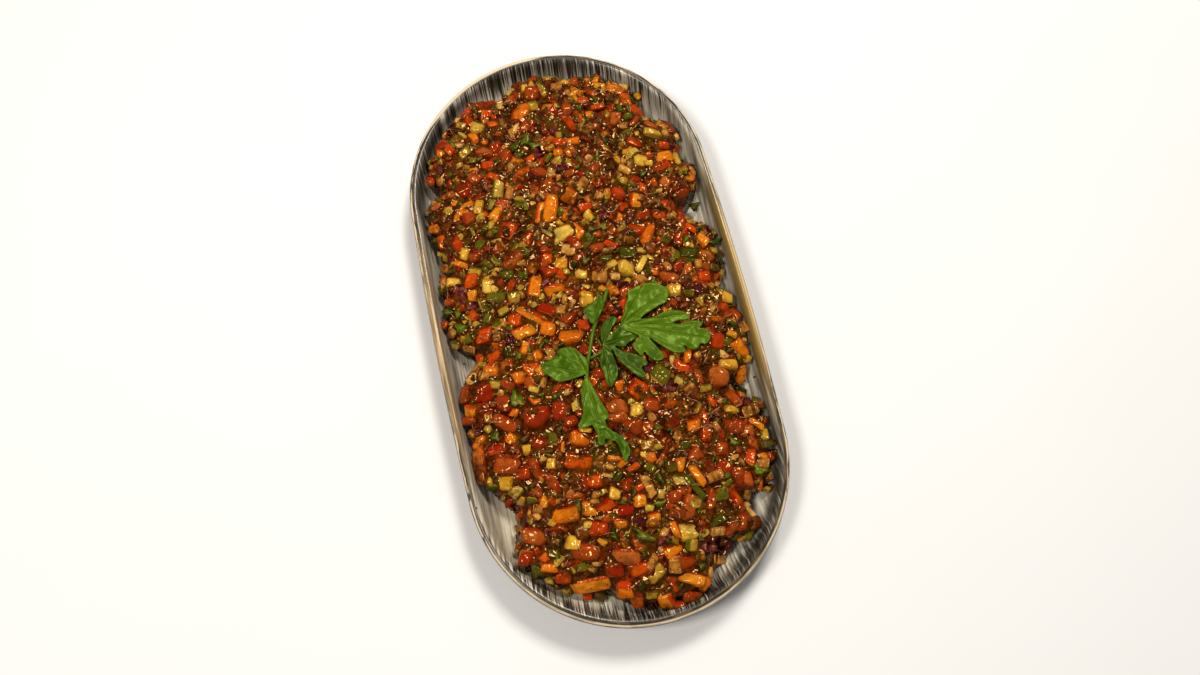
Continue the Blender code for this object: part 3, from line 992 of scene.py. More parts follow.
@dataclass
class Dish:
    """The stoneware dish, one closed shell with a rolled rim and a foot ring."""

    bowl: Bowl = Bowl()
    floor_rings: tuple[float, ...] = (20 * MM, 40 * MM, 52 * MM)
    wall_steps: int = 16
    rim_steps: int = 14
    end_steps: int = 40
    side_steps: int = 14
    smooth_angle: float = math.radians(40)
    weld: float = 0.01 * MM

    def wall(self, run: float, rise: float) -> list[tuple[float, float]]:
        """Section of the wall's inside or outside, an arc from the floor up.

        Args:
            run: Plan distance that the arc would cover if it ended upright.
            rise: Its height.

        Returns:
            Points as radius and height.
        """
        points = []
        for step in range(self.wall_steps + 1):
            angle = self.bowl.wall_top_angle * step / self.wall_steps
            radius = self.bowl.well_radius + run * math.sin(angle)
            points.append((radius, self.bowl.height - rise * math.cos(angle)))
        return points

    def profile(self) -> list[tuple[float, float]]:
        """Half section from the floor's middle over the rim to the underside's middle.

        Returns:
            Points as radius and height.
        """
        bowl = self.bowl
        rise = bowl.height - bowl.floor_top
        inside = self.wall(bowl.wall_run, rise)
        outside = self.wall(bowl.wall_run + bowl.rim_thickness, rise + bowl.floor_thickness)
        roll = bowl.rim_thickness / 2
        rim = []
        for step in range(self.rim_steps):
            angle = math.pi * (1 - (step + 0.5) / self.rim_steps)
            radius = bowl.oval.end_radius - roll + roll * math.cos(angle)
            rim.append((radius, bowl.height - roll + roll * math.sin(angle)))
        under = bowl.floor_top - bowl.floor_thickness
        foot = [
            (bowl.foot_outer + bowl.foot_taper, under),
            (bowl.foot_outer, 0),
            (bowl.foot_inner, 0),
            (bowl.foot_inner - bowl.foot_taper, under),
        ]
        floor = [(radius, bowl.floor_top) for radius in self.floor_rings]
        return floor + inside + rim + outside[::-1] + foot

    def turned_quarter(self) -> Item:
        """A quarter of a round end, spun from the profile, and drawn out to the dish's middle.

        Returns:
            The quarter, at positive y.
        """
        choose()
        bpy.ops.mesh.primitive_plane_add(size=MM)
        quarter = active()
        profile = self.profile()
        straight = self.bowl.oval.half_straight

        def draw() -> None:
            """Extrude the profile point by point, spin it, and move it to the dish's end."""
            bpy.ops.mesh.merge(type="CENTER")
            radius, height = profile[0]
            bpy.ops.transform.translate(value=(radius, 0, height))
            for (r0, h0), (r1, h1) in zip(profile, profile[1:]):
                shift = {"value": (r1 - r0, 0, h1 - h0)}
                bpy.ops.mesh.extrude_region_move(TRANSFORM_OT_translate=shift)
            select_whole()
            bpy.ops.mesh.spin(
                steps=self.end_steps, angle=math.pi / 2, center=(0, 0, 0), axis=(0, 0, 1)
            )
            select_whole()
            bpy.ops.transform.translate(value=(0, straight, 0))

        edit(draw)
        points = places(quarter)
        sign = 1 if points[:, 1].mean() > straight else -1
        points[:, 1] = straight + sign * (points[:, 1] - straight)
        move_to(quarter, points)
        mark(quarter, np.abs(places(quarter)[:, 1] - straight) < self.weld)

        def lengthen() -> None:
            """Draw the open side along the dish in even steps."""
            bpy.ops.mesh.select_mode(type="EDGE")
            for _ in range(self.side_steps):
                shift = {"value": (0, -straight / self.side_steps, 0)}
                bpy.ops.mesh.extrude_region_move(TRANSFORM_OT_translate=shift)

        edit(lengthen, everything=False)
        return quarter

    def build(self) -> Item:
        """Mirror the quarter, swell the sides, close the floor and the underside.

        Returns:
            The dish.
        """
        dish = self.turned_quarter()
        apply(dish, "MIRROR", use_axis=(True, True, False), merge_threshold=self.weld)
        points = places(dish)
        out_x, out_y, _, rim = self.bowl.oval.reach(points[:, 0], points[:, 1])
        swell = rim - self.bowl.oval.end_radius
        points[:, 0] += out_x * swell
        points[:, 1] += out_y * swell
        move_to(dish, points)

        def close() -> None:
            """Weld the halves, fill both open ovals and turn the faces outwards."""
            bpy.ops.mesh.remove_doubles(threshold=self.weld)
            bpy.ops.mesh.select_all(action="DESELECT")
            bpy.ops.mesh.select_mode(type="EDGE")
            bpy.ops.mesh.select_non_manifold()
            bpy.ops.mesh.edge_face_add()
            select_whole()
            bpy.ops.mesh.normals_make_consistent(inside=False)

        edit(close)
        choose(dish)
        bpy.ops.object.shade_smooth_by_angle(angle=self.smooth_angle)
        finish_piece(dish, "oval_dish", "stoneware", GlazeFinish(self.bowl).make())
        return dish


# ---- what pieces come to rest on


@dataclass
class Footing:
    """Where a piece came to rest.

    Args:
        centre: Its middle.
        slope: Its slope along x and along y.
        cells: The part of the height map round it.
        mask: Which of those cells it covers.
        rise: Height of its top over each.
    """

    centre: Array
    slope: Array
    cells: tuple[slice, slice]
    mask: Array
    rise: Array


class Ground:
    """Height map of what lies in the dish so far."""

    core_from: float = 2 * MM  # inwards from the salad's edge
    edge_from: float = 0.3 * MM  # inwards from the salad's edge, where a piece may lie
    most_outside: float = 0.12  # share of a piece that may reach past that
    most_kept: float = 0.15  # share of a piece that may cover kept pieces
    follow: float = 0.7  # share of the ground's slope that a piece takes on
    steepest: float = 0.7  # the most that it takes on
    borne: float = 0.6  # share of the ground under a piece that lies below its underside

    def __init__(
        self, heap: Heap, sprig: BVHTree, pitch: float = 0.5 * MM, sink: float = 3.4 * MM
    ) -> None:
        """Lay out the bare dish with the salad's smaller core in it.

        Args:
            heap: Form of the salad.
            sprig: Search tree of the parsley's solid, which pieces stay under.
            pitch: Side of a cell.
            sink: How much lower than the salad's top the core lies.
        """
        self.pitch = pitch
        oval = heap.bowl.oval
        half_width = oval.end_radius + oval.side_bow
        self.xs = np.arange(-half_width, half_width, pitch)
        self.ys = np.arange(-oval.length / 2, oval.length / 2, pitch)
        x, y = np.meshgrid(self.xs, self.ys)
        _, _, distance, rim = oval.reach(x, y)
        self.inwards = heap.inwards(x, y)
        self.target = heap.height(x, y)
        bare = heap.bowl.inside_height(np.maximum(rim - distance, heap.bowl.rim_thickness))
        core = np.maximum(bare, self.target - sink)
        self.top = np.where(self.inwards > self.core_from, core, bare)
        self.ceiling = self.under_sprig(sprig, x, y)
        self.kept = np.zeros(x.shape, bool)

    def under_sprig(self, sprig: BVHTree, x: Array, y: Array, gap: float = 0.35 * MM) -> Array:
        """Height that pieces stay under, which is far up where no parsley is.

        Args:
            sprig: Search tree of the parsley's solid.
            x: The cells' places across the dish.
            y: The cells' places along the dish.
            gap: How far under the solid the pieces stay.

        Returns:
            A height for each cell.
        """
        ceiling = np.full(x.shape, 1.0)
        low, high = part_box("parsley_sprig")
        near = (x > low.x - MM) & (x < high.x + MM) & (y > low.y - MM) & (y < high.y + MM)
        for row, column in np.argwhere(near):
            hit, *_ = sprig.ray_cast(Vector((x[row, column], y[row, column], 0)), Vector((0, 0, 1)))
            if hit:
                ceiling[row, column] = hit.z - gap
        return ceiling

    def nearest(self, x: Array, y: Array) -> tuple[Array, Array]:
        """Find the cells nearest to plan points.

        Args:
            x: Plan points across the dish.
            y: Plan points along the dish.

        Returns:
            The cells' rows and columns.
        """
        rows = np.rint((y - self.ys[0]) / self.pitch).astype(int)
        columns = np.rint((x - self.xs[0]) / self.pitch).astype(int)
        return np.clip(rows, 0, len(self.ys) - 1), np.clip(columns, 0, len(self.xs) - 1)

    def look_up(self, grid: Array, points: Array) -> Array:
        """Read a grid of cells at plan points, which are rows."""
        return grid[self.nearest(points[:, 0], points[:, 1])]

    def rest(
        self, x: float, y: float, size: Array, turn: float, lean: Array, sunk: float
    ) -> Footing:
        """Let a piece come down at a plan point.

        Args:
            x: Place across the dish.
            y: Place along the dish.
            size: Length, width and thickness.
            turn: Angle of its length in plan.
            lean: Extra slope along x and y.
            sunk: Share of the thickness that presses into what it lies on.

        Returns:
            Its place, its slope, and the cells that it covers with their new heights.
        """
        row, column = self.nearest(x, y)
        span = int(math.hypot(size[0], size[1]) / 2 / self.pitch) + 1
        cells = (
            slice(max(row - span, 0), row + span + 1),
            slice(max(column - span, 0), column + span + 1),
        )
        dx = self.xs[cells[1]][None, :] - x
        dy = self.ys[cells[0]][:, None] - y
        u = dx * math.cos(turn) + dy * math.sin(turn)
        v = dy * math.cos(turn) - dx * math.sin(turn)
        mask = (np.abs(u) < size[0] / 2) & (np.abs(v) < size[1] / 2)
        if not mask.any():
            mask[mask.shape[0] // 2, mask.shape[1] // 2] = True
        under = self.top[cells][mask]
        flat_x = np.broadcast_to(dx, mask.shape)[mask]
        flat_y = np.broadcast_to(dy, mask.shape)[mask]
        middle = under.mean()
        slope = np.array([
            ((under - middle) * flat_x).sum() / max((flat_x ** 2).sum(), TINY),
            ((under - middle) * flat_y).sum() / max((flat_y ** 2).sum(), TINY),
        ])
        slope = np.clip(slope * self.follow, -self.steepest, self.steepest) + lean
        plane = flat_x * slope[0] + flat_y * slope[1]
        base = np.quantile(under - plane, self.borne)
        stand = size[2] * math.sqrt(1 + slope @ slope)
        centre = base + stand * (0.5 - sunk)
        rise = centre + stand / 2 + dx * slope[0] + dy * slope[1]
        return Footing(np.array([x, y, centre]), slope, cells, mask, rise)

    def fits(self, footing: Footing, proud: float) -> bool:
        """Whether a piece stays in the heap's form, under the parsley and off the kept pieces.

        Args:
            footing: Where it came to rest.
            proud: How far it may stand over the heap's form on average.

        Returns:
            Whether all of that holds.
        """
        target = self.target[footing.cells][footing.mask]
        rise = footing.rise[footing.mask]
        ceiling = self.ceiling[footing.cells][footing.mask]
        kept = self.kept[footing.cells][footing.mask]
        outside = self.inwards[footing.cells][footing.mask] < self.edge_from
        return bool(
            np.mean(rise - target) < proud
            and np.all(rise < ceiling)
            and np.mean(kept) < self.most_kept
            and np.mean(outside) < self.most_outside
        )

    def lay(self, footing: Footing, keep: bool = False) -> None:
        """Add a piece to the height map.

        Args:
            footing: Where it came to rest.
            keep: Whether later pieces keep off it.
        """
        window = self.top[footing.cells]
        window[footing.mask] = np.maximum(window, footing.rise)[footing.mask]
        if keep:
            self.kept[footing.cells][footing.mask] = True

    def smoothed(self, reach: float = 2 * MM) -> Array:
        """The height map, averaged over so far each way."""
        return blur(self.top, int(reach / self.pitch))


def blur(grid: Array, reach: int) -> Array:
    """Average a grid over a square of cells, twice over, for a smooth result.

    Args:
        grid: The values.
        reach: How many cells the square reaches each way.

    Returns:
        The averages.
    """
    result = grid
    width = 2 * reach + 1
    for _ in range(2):
        for axis in (0, 1):
            ends = [(reach, reach) if side == axis else (0, 0) for side in (0, 1)]
            padded = np.pad(result, ends, mode="edge")
            total = np.cumsum(np.insert(padded, 0, 0, axis=axis), axis=axis)
            upper = np.take(total, range(width, total.shape[axis]), axis=axis)
            lower = np.take(total, range(0, total.shape[axis] - width), axis=axis)
            result = (upper - lower) / width
    return result


def tree_of(item: Item) -> BVHTree:
    """Search tree of an object's mesh."""
    points = [vert.co for vert in item.data.vertices]
    return BVHTree.FromPolygons(points, [face.vertices for face in item.data.polygons])


# ---- shapes that are copied


class Form(Enum):
    """How a chopped piece was cut."""

    DICE = "knife-cut block with crisp edges"
    SOFT = "soft lump"
    CRUMB = "small lump of few faces"
    CURL = "slab from a curved layer"
    FLAKE = "lobed scrap of leaf"
    STALK = "short length of stalk"


@dataclass
class Pattern:
    """A shape that is modelled once, one unit long, wide and thick, and then copied."""

    points: Array
    faces: Array

    @classmethod
    def take(cls, item: Item) -> "Pattern":
        """Read a modelled object into arrays, fitted to a unit box, and remove it.

        Args:
            item: The object.

        Returns:
            Its shape.
        """
        edit(lambda: bpy.ops.mesh.quads_convert_to_tris())
        points = places(item)
        low, high = points.min(0), points.max(0)
        points = (points - (low + high) / 2) / (high - low)
        faces = np.array([list(face.vertices) for face in item.data.polygons])
        bpy.data.objects.remove(item, do_unlink=True)
        return cls(points, faces)


class Cutter:
    """Models each form of chopped piece once."""

    def cube(self, cuts: int) -> None:
        """Add a unit cube.

        Args:
            cuts: How often each side is cut, both ways.
        """
        choose()
        bpy.ops.mesh.primitive_cube_add(size=1)
        if cuts:
            edit(lambda: bpy.ops.mesh.subdivide(number_cuts=cuts))

    def model(self, form: Form) -> Pattern:
        """Model a form.

        Args:
            form: Which form.

        Returns:
            Its shape.
        """
        if form is Form.DICE:
            self.cube(0)
            edit(lambda: bpy.ops.mesh.bevel(offset=0.2, segments=2, affect="EDGES"))
        elif form is Form.SOFT:
            self.cube(2)
            edit(lambda: bpy.ops.transform.tosphere(value=0.55))
        elif form is Form.CRUMB:
            self.cube(1)
            edit(lambda: bpy.ops.transform.tosphere(value=0.5))
        elif form is Form.CURL:
            self.cube(0)
            edit(self.slice_slab)
        elif form is Form.FLAKE:
            self.flake()
        else:
            choose()
            bpy.ops.mesh.primitive_cylinder_add(
                vertices=6, radius=0.5, depth=1, rotation=(0, math.pi / 2, 0)
            )
            bpy.ops.object.transform_apply(location=False, rotation=True, scale=False)
            edit(lambda: bpy.ops.mesh.bevel(offset=0.06, segments=1, affect="EDGES"))
        return Pattern.take(active())

    @staticmethod
    def slice_slab() -> None:
        """Cut a cube across three times, so that it can bend, and soften its edges."""
        for place in (-0.25, 0.0, 0.25):
            select_whole()
            bpy.ops.mesh.bisect(plane_co=(place, 0, 0), plane_no=(1, 0, 0))
        select_whole()
        bpy.ops.mesh.bevel(offset=0.12, segments=1, affect="EDGES", clamp_overlap=True)

    @staticmethod
    def flake() -> None:
        """Cut a lobed leaf scrap out of a disc, and give it a thickness."""
        choose()
        bpy.ops.mesh.primitive_circle_add(vertices=14, radius=0.5, fill_type="TRIFAN")
        item = active()
        points = places(item)
        angle = np.arctan2(points[:, 1], points[:, 0])
        lobes = 1 + 0.28 * np.sin(3 * angle + 0.6) + 0.16 * np.sin(5 * angle)
        points[:, :2] *= lobes[:, None]
        move_to(item, points)
        apply(item, "SOLIDIFY", thickness=0.2, offset=0.0)


# ---- chopped pieces


@dataclass(frozen=True)
class Batch:
    """A number of pieces of one form, with their least and greatest size in millimetres."""

    form: Form
    count: int
    low: tuple[float, float, float]
    high: tuple[float, float, float]
    lean: float = 0.3
    bend: float = 0.0
    uneven: float = 0.26
    sunk: float = 0.2
    proud: float = 1.6
    smear: float = 0.45


@dataclass(frozen=True)
class Seen:
    """A piece that the photograph shows: the pixel of its middle, its size and its turn there."""

    pixel_x: float
    pixel_y: float
    length: float
    width: float
    turn: float = 0.0


@dataclass(frozen=True)
class Kind:
    """One ingredient: its finish, and the batches that it comes in, the coarsest first."""

    name: str
    finish: CutFinish
    batches: tuple[Batch, ...]


@dataclass
class Settled:
    """Pieces of one kind and form that have come to rest."""

    batch: Batch
    sizes: list[Array] = field(default_factory=list)
    turns: list[float] = field(default_factory=list)
    footings: list[Footing] = field(default_factory=list)


class Chopper:
    """Drops the chopped pieces on the ground, and joins those of each kind into one mesh."""

    gather_wave: float = 20 * MM  # over which a kind gathers and thins out
    gather_pull: float = 3 * MM  # how much lower a spot counts where its kind gathers
    gather_apart: float = 10.0  # from one kind's level of that noise to the next one's
    low_share: tuple[float, float] = (1.6, 2.2)  # sizes keep nearer to the least than the greatest
    feel: float = 1.5 * MM  # how far round a seen piece's middle the heap's slope is felt
    steepest: float = 0.8  # slope of the heap that a seen piece takes on at most
    tilt: float = 0.24  # spread of a seen piece's own slope
    proud: tuple[float, float] = (0.2, 1.5)  # millimetres of it over the heap's form
    flat_thickness: float = 0.9  # of a seen piece of leaf or stalk, in millimetres
    sprig_gap: float = 0.3 * MM  # from a seen piece up to the level that pieces stay under
    cleaner: float = 0.16  # how much less dressing clings to a seen piece
    seen_uneven: float = 0.2
    rough: float = 0.018  # spread of a point's own place in a piece of unit size

    def __init__(self, ground: Ground, kinds: Sequence[Kind], seed: int = 11) -> None:
        """Model the shapes that are copied, and get ready to drop them.

        Args:
            ground: What the pieces come to rest on.
            kinds: The ingredients.
            seed: Seed of the random draws.
        """
        self.ground = ground
        self.order = [kind.name for kind in kinds]
        self.draw = np.random.default_rng(seed)
        self.patterns = {form: Cutter().model(form) for form in Form}
        self.settled: dict[tuple[str, int], Settled] = {}
        self.inside = np.argwhere(ground.inwards > 0.2 * MM)  # cells that pieces drop on

    def hollow_spot(self, gather: float, tries: int = 7) -> tuple[float, float]:
        """Draw some plan points, and choose one that lies low under the heap's form.

        Args:
            gather: Level of the noise that makes a kind gather at some places.
            tries: How many points are drawn.

        Returns:
            The point.
        """
        ground = self.ground
        rows, columns = self.inside[self.draw.integers(0, len(self.inside), tries)].T
        lack = ground.target[rows, columns] - ground.top[rows, columns]
        for index, (row, column) in enumerate(zip(rows, columns)):
            x, y = ground.xs[column] / self.gather_wave, ground.ys[row] / self.gather_wave
            lack[index] += self.gather_pull * noise.noise((x, y, gather))
        best = int(np.argmax(lack))
        jitter = self.draw.uniform(-0.5, 0.5, 2) * ground.pitch
        return ground.xs[columns[best]] + jitter[0], ground.ys[rows[best]] + jitter[1]

    def drop(self, kind: Kind, number: int) -> bool:
        """Drop one piece of a kind's batch where the heap lacks it most.

        Args:
            kind: The ingredient.
            number: Number of its batch.

        Returns:
            Whether the piece fits there and is laid.
        """
        batch = kind.batches[number]
        low, high = np.array(batch.low) * MM, np.array(batch.high) * MM
        size = low + (high - low) * self.draw.beta(*self.low_share, 3)
        turn = self.draw.uniform(0, math.tau)
        lean = self.draw.normal(0, batch.lean, 2)
        x, y = self.hollow_spot(self.gather_apart * self.order.index(kind.name))
        footing = self.ground.rest(x, y, size, turn, lean, batch.sunk)
        if not self.ground.fits(footing, batch.proud * MM):
            return False
        self.ground.lay(footing)
        self.remember(kind, number, size, turn, footing)
        return True

    def place_seen(self, kind: Kind, pieces: Sequence[Seen], heap: Heap, view: Viewpoint) -> None:
        """Place the pieces that the photograph shows, a little proud of the heap's form.

        Args:
            kind: The ingredient.
            pieces: The pieces of that kind that show.
            heap: The heap's form.
            view: Where the photograph was taken from.
        """
        ground = self.ground
        step = np.array([-1, 0, 1]) * self.feel
        for seen in pieces:
            point = view.plan_point(seen.pixel_x, seen.pixel_y, heap.height)
            flat = kind.batches[0].form in (Form.FLAKE, Form.STALK)
            thick = self.flat_thickness if flat else 1.2 + 0.42 * min(seen.length, seen.width)
            size = np.array([seen.length, seen.width, thick]) * MM
            turn = math.radians(seen.turn) + view.azimuth
            across = heap.height(point.x + step, np.full(3, point.y))
            along = heap.height(np.full(3, point.x), point.y + step)
            slope = np.array([across[2] - across[0], along[2] - along[0]]) / (2 * self.feel)
            slope = np.clip(slope, -self.steepest, self.steepest)
            slope = slope + self.draw.normal(0, self.tilt, 2)
            proud = self.draw.uniform(*self.proud) * MM
            footing = ground.rest(point.x, point.y, size, turn, np.zeros(2), 0.0)
            ceiling = float(ground.ceiling[footing.cells][footing.mask].min())
            top = min(float(across[1]) + proud, ceiling - self.sprig_gap)
            footing.slope = slope
            footing.centre[2] = top - size[2] / 2
            dx = ground.xs[footing.cells[1]][None, :] - point.x
            dy = ground.ys[footing.cells[0]][:, None] - point.y
            footing.rise = top + dx * slope[0] + dy * slope[1]
            ground.lay(footing, keep=True)
            self.remember(kind, SEEN, size, turn, footing)

    def remember(
        self, kind: Kind, number: int, size: Array, turn: float, footing: Footing
    ) -> None:
        """Note a settled piece.

        Args:
            kind: The ingredient.
            number: Number of its batch, or SEEN for a cleaner and more even piece.
            size: Length, width and thickness.
            turn: Angle of its length in plan.
            footing: Where it came to rest.
        """
        batch = kind.batches[max(number, 0)]
        if number == SEEN:
            batch = replace(batch, smear=batch.smear - self.cleaner, uneven=self.seen_uneven)
        group = self.settled.setdefault((kind.name, number), Settled(batch))
        group.sizes.append(size)
        group.turns.append(turn)
        group.footings.append(footing)

    def scatter(self, kinds: Sequence[Kind]) -> None:
        """Drop the first batch of every kind, then the second, and so on, the kinds mixed.

        Args:
            kinds: The ingredients.
        """
        for stage in range(len(kinds[0].batches)):
            order = []
            for kind in kinds:
                order += [kind] * kind.batches[stage].count
            self.draw.shuffle(order)
            laid = sum(self.drop(kind, stage) or self.drop(kind, stage) for kind in order)
            lack = (self.ground.target - self.ground.top)[self.ground.inwards > MM]
            log.info(
                "stage %d: %d of %d laid, short by %.2f mm on average, %.2f at most",
                stage, laid, len(order), lack.mean() / MM, lack.max() / MM,
            )

    def shape(self, group: Settled) -> tuple[Array, ...]:
        """Copy a pattern to every settled piece of a group.

        Args:
            group: The settled pieces.

        Returns:
            Points, triangles, and each point's seed, skin, smear and edge values.
        """
        pattern = self.patterns[group.batch.form]
        count, corners = len(group.sizes), len(pattern.points)
        unit = pattern.points
        corner_signs = np.array([[i, j, k] for i in (-1, 1) for j in (-1, 1) for k in (-1, 1)])
        weights = np.prod(0.5 + corner_signs[None] * unit[:, None, :], axis=2)
        stray = self.draw.uniform(-1, 1, (count, 8, 3)) * group.batch.uneven
        local = unit[None] + np.einsum("pc,ncd->npd", weights, stray)
        local = local + self.draw.normal(0, self.rough, (count, corners, 3))
        bend = group.batch.bend * self.draw.uniform(0.4, 1.3, (count, 1))
        size = np.array(group.sizes)[:, None, :]
        local = local * size
        local[..., 2] += bend * (unit[None, :, 0] ** 2 - 0.08) * size[..., 0]
        turn = np.array(group.turns)
        slope = np.array([footing.slope for footing in group.footings])
        centre = np.array([footing.centre for footing in group.footings])
        along = np.stack([np.cos(turn), np.sin(turn), np.zeros(count)], 1)
        up = np.concatenate([-slope, np.ones((count, 1))], 1)
        up /= np.linalg.norm(up, axis=1, keepdims=True)
        along -= up * (along * up).sum(1, keepdims=True)
        along /= np.linalg.norm(along, axis=1, keepdims=True)
        across = np.cross(up, along)
        axes = np.stack([along, across, up], 1)
        points = np.einsum("npd,nde->npe", local, axes) + centre[:, None, :]
        faces = pattern.faces[None] + (np.arange(count) * corners)[:, None, None]
        seed = np.repeat(self.draw.uniform(0, 1, count), corners)
        on_top = self.draw.integers(0, 5, count)[:, None] == 0
        skin = np.where(on_top, unit[None, :, 2], unit[None, :, 1]) + 0.5
        smear = np.repeat(self.draw.normal(group.batch.smear, 0.12, count), corners)
        edge = np.tile(np.sort(np.abs(unit), axis=1)[:, 1] * 2, count)
        return points.reshape(-1, 3), faces.reshape(-1, 3), seed, skin.ravel(), smear, edge

    def join(self, kind: Kind) -> Item:
        """Join all settled pieces of a kind into one object and dress it.

        Args:
            kind: The ingredient.

        Returns:
            The object.
        """
        parts, start = [], 0
        for number in range(SEEN, len(kind.batches)):
            group = self.settled.get((kind.name, number))
            if group is None:
                continue
            points, faces, *values = self.shape(group)
            parts.append((points, faces + start, *values))
            start += len(points)
        points, faces, *values = (np.concatenate(rows) for rows in zip(*parts))
        item = mesh_of(kind.name, points, faces)
        for name, value in zip(("seed", "skin", "smear", "edge"), values):
            keep_value(item, name, value)
        keep_value(item, "sunk", self.sunk(points))
        finish_piece(item, kind.name, "chopped_salad", kind.finish.make())
        return item

    def sunk(self, points: Array, above: float = 0.1 * MM, full: float = 1.5 * MM) -> Array:
        """How deep points lie under the heap's smoothed top, from 0 just above it to 1."""
        depth = self.ground.look_up(self.ground.smoothed(), points) + above - points[:, 2]
        return np.clip(depth / full, 0, 1)


# ---- the salad


@dataclass
class SaladCore:
    """The wet pulp and dressing that the pieces lie in, a closed solid on the dish."""

    heap: Heap = Heap()
    pitch: float = 0.65 * MM
    below: float = 0.4 * MM            # the smoothed top
    clearance: float = 0.6 * MM        # over the dish
    drop: float = 0.4 * MM             # from the edge down to the underside
    sprig_gap: float = 0.5 * MM
    inset: float = 0.8 * MM            # of the core's edge from the salad's
    shore: float = 3 * MM              # width over which the edge rises
    relief: tuple[float, float] = (0.4 * MM, 2.6 * MM)   # height and wavelength
    patches: tuple[float, float] = (0.7 * MM, 9 * MM)

    def build(self, chopper: Chopper) -> Item:
        """Drape a fine grid just under the settled pieces, and close it along the dish.

        Args:
            chopper: What laid the pieces, with the height map that they are on.

        Returns:
            The core.
        """
        oval = self.heap.bowl.oval
        choose()
        columns = int(2 * (oval.end_radius + oval.side_bow) / self.pitch)
        rows = int(oval.length / self.pitch)
        bpy.ops.mesh.primitive_grid_add(x_subdivisions=columns, y_subdivisions=rows, size=1)
        core = active()
        points = places(core)
        points[:, 0] *= 2 * (oval.end_radius + oval.side_bow)
        points[:, 1] *= oval.length
        inwards = self.heap.inwards(points[:, 0], points[:, 1]) - self.inset
        _, _, distance, rim = oval.reach(points[:, 0], points[:, 1])
        bare = self.heap.bowl.inside_height(rim - distance)
        lowest = bare + self.clearance
        rise = self.level(chopper.ground, points) - bare - self.clearance
        points[:, 2] = np.maximum(lowest + rise * ease(0, self.shore, inwards), lowest)
        move_to(core, points)
        mark(core, inwards < 0)

        def close() -> None:
            """Drop what lies outside the salad, draw the edge down, and close the bottom."""
            bpy.ops.mesh.select_mode(type="VERT")
            bpy.ops.mesh.delete(type="VERT")
            bpy.ops.mesh.select_all(action="DESELECT")
            bpy.ops.mesh.select_mode(type="EDGE")
            bpy.ops.mesh.select_non_manifold()
            shift = {"value": (0, 0, -self.drop)}
            bpy.ops.mesh.extrude_region_move(TRANSFORM_OT_translate=shift)
            bpy.ops.mesh.edge_face_add()
            select_whole()
            bpy.ops.mesh.normals_make_consistent(inside=False)

        edit(close, everything=False)
        core.data.shade_smooth()
        keep_value(core, "sunk", chopper.sunk(places(core)))
        finish_piece(core, "dressing_and_pulp", "chopped_salad", DressingFinish().make())
        return core

    def level(self, ground: Ground, points: Array) -> Array:
        """Height of the dressing: the smoothed height map, a little lowered, with fine relief.

        Args:
            ground: The height map.
            points: Plan points, as rows.

        Returns:
            A height for each point.
        """
        level = ground.look_up(ground.smoothed(), points) - self.below
        for height, wave in (self.relief, self.patches):
            level = level + height * ripple(points[:, 0], points[:, 1], wave)
        return np.minimum(level, ground.look_up(ground.ceiling, points) - self.sprig_gap)
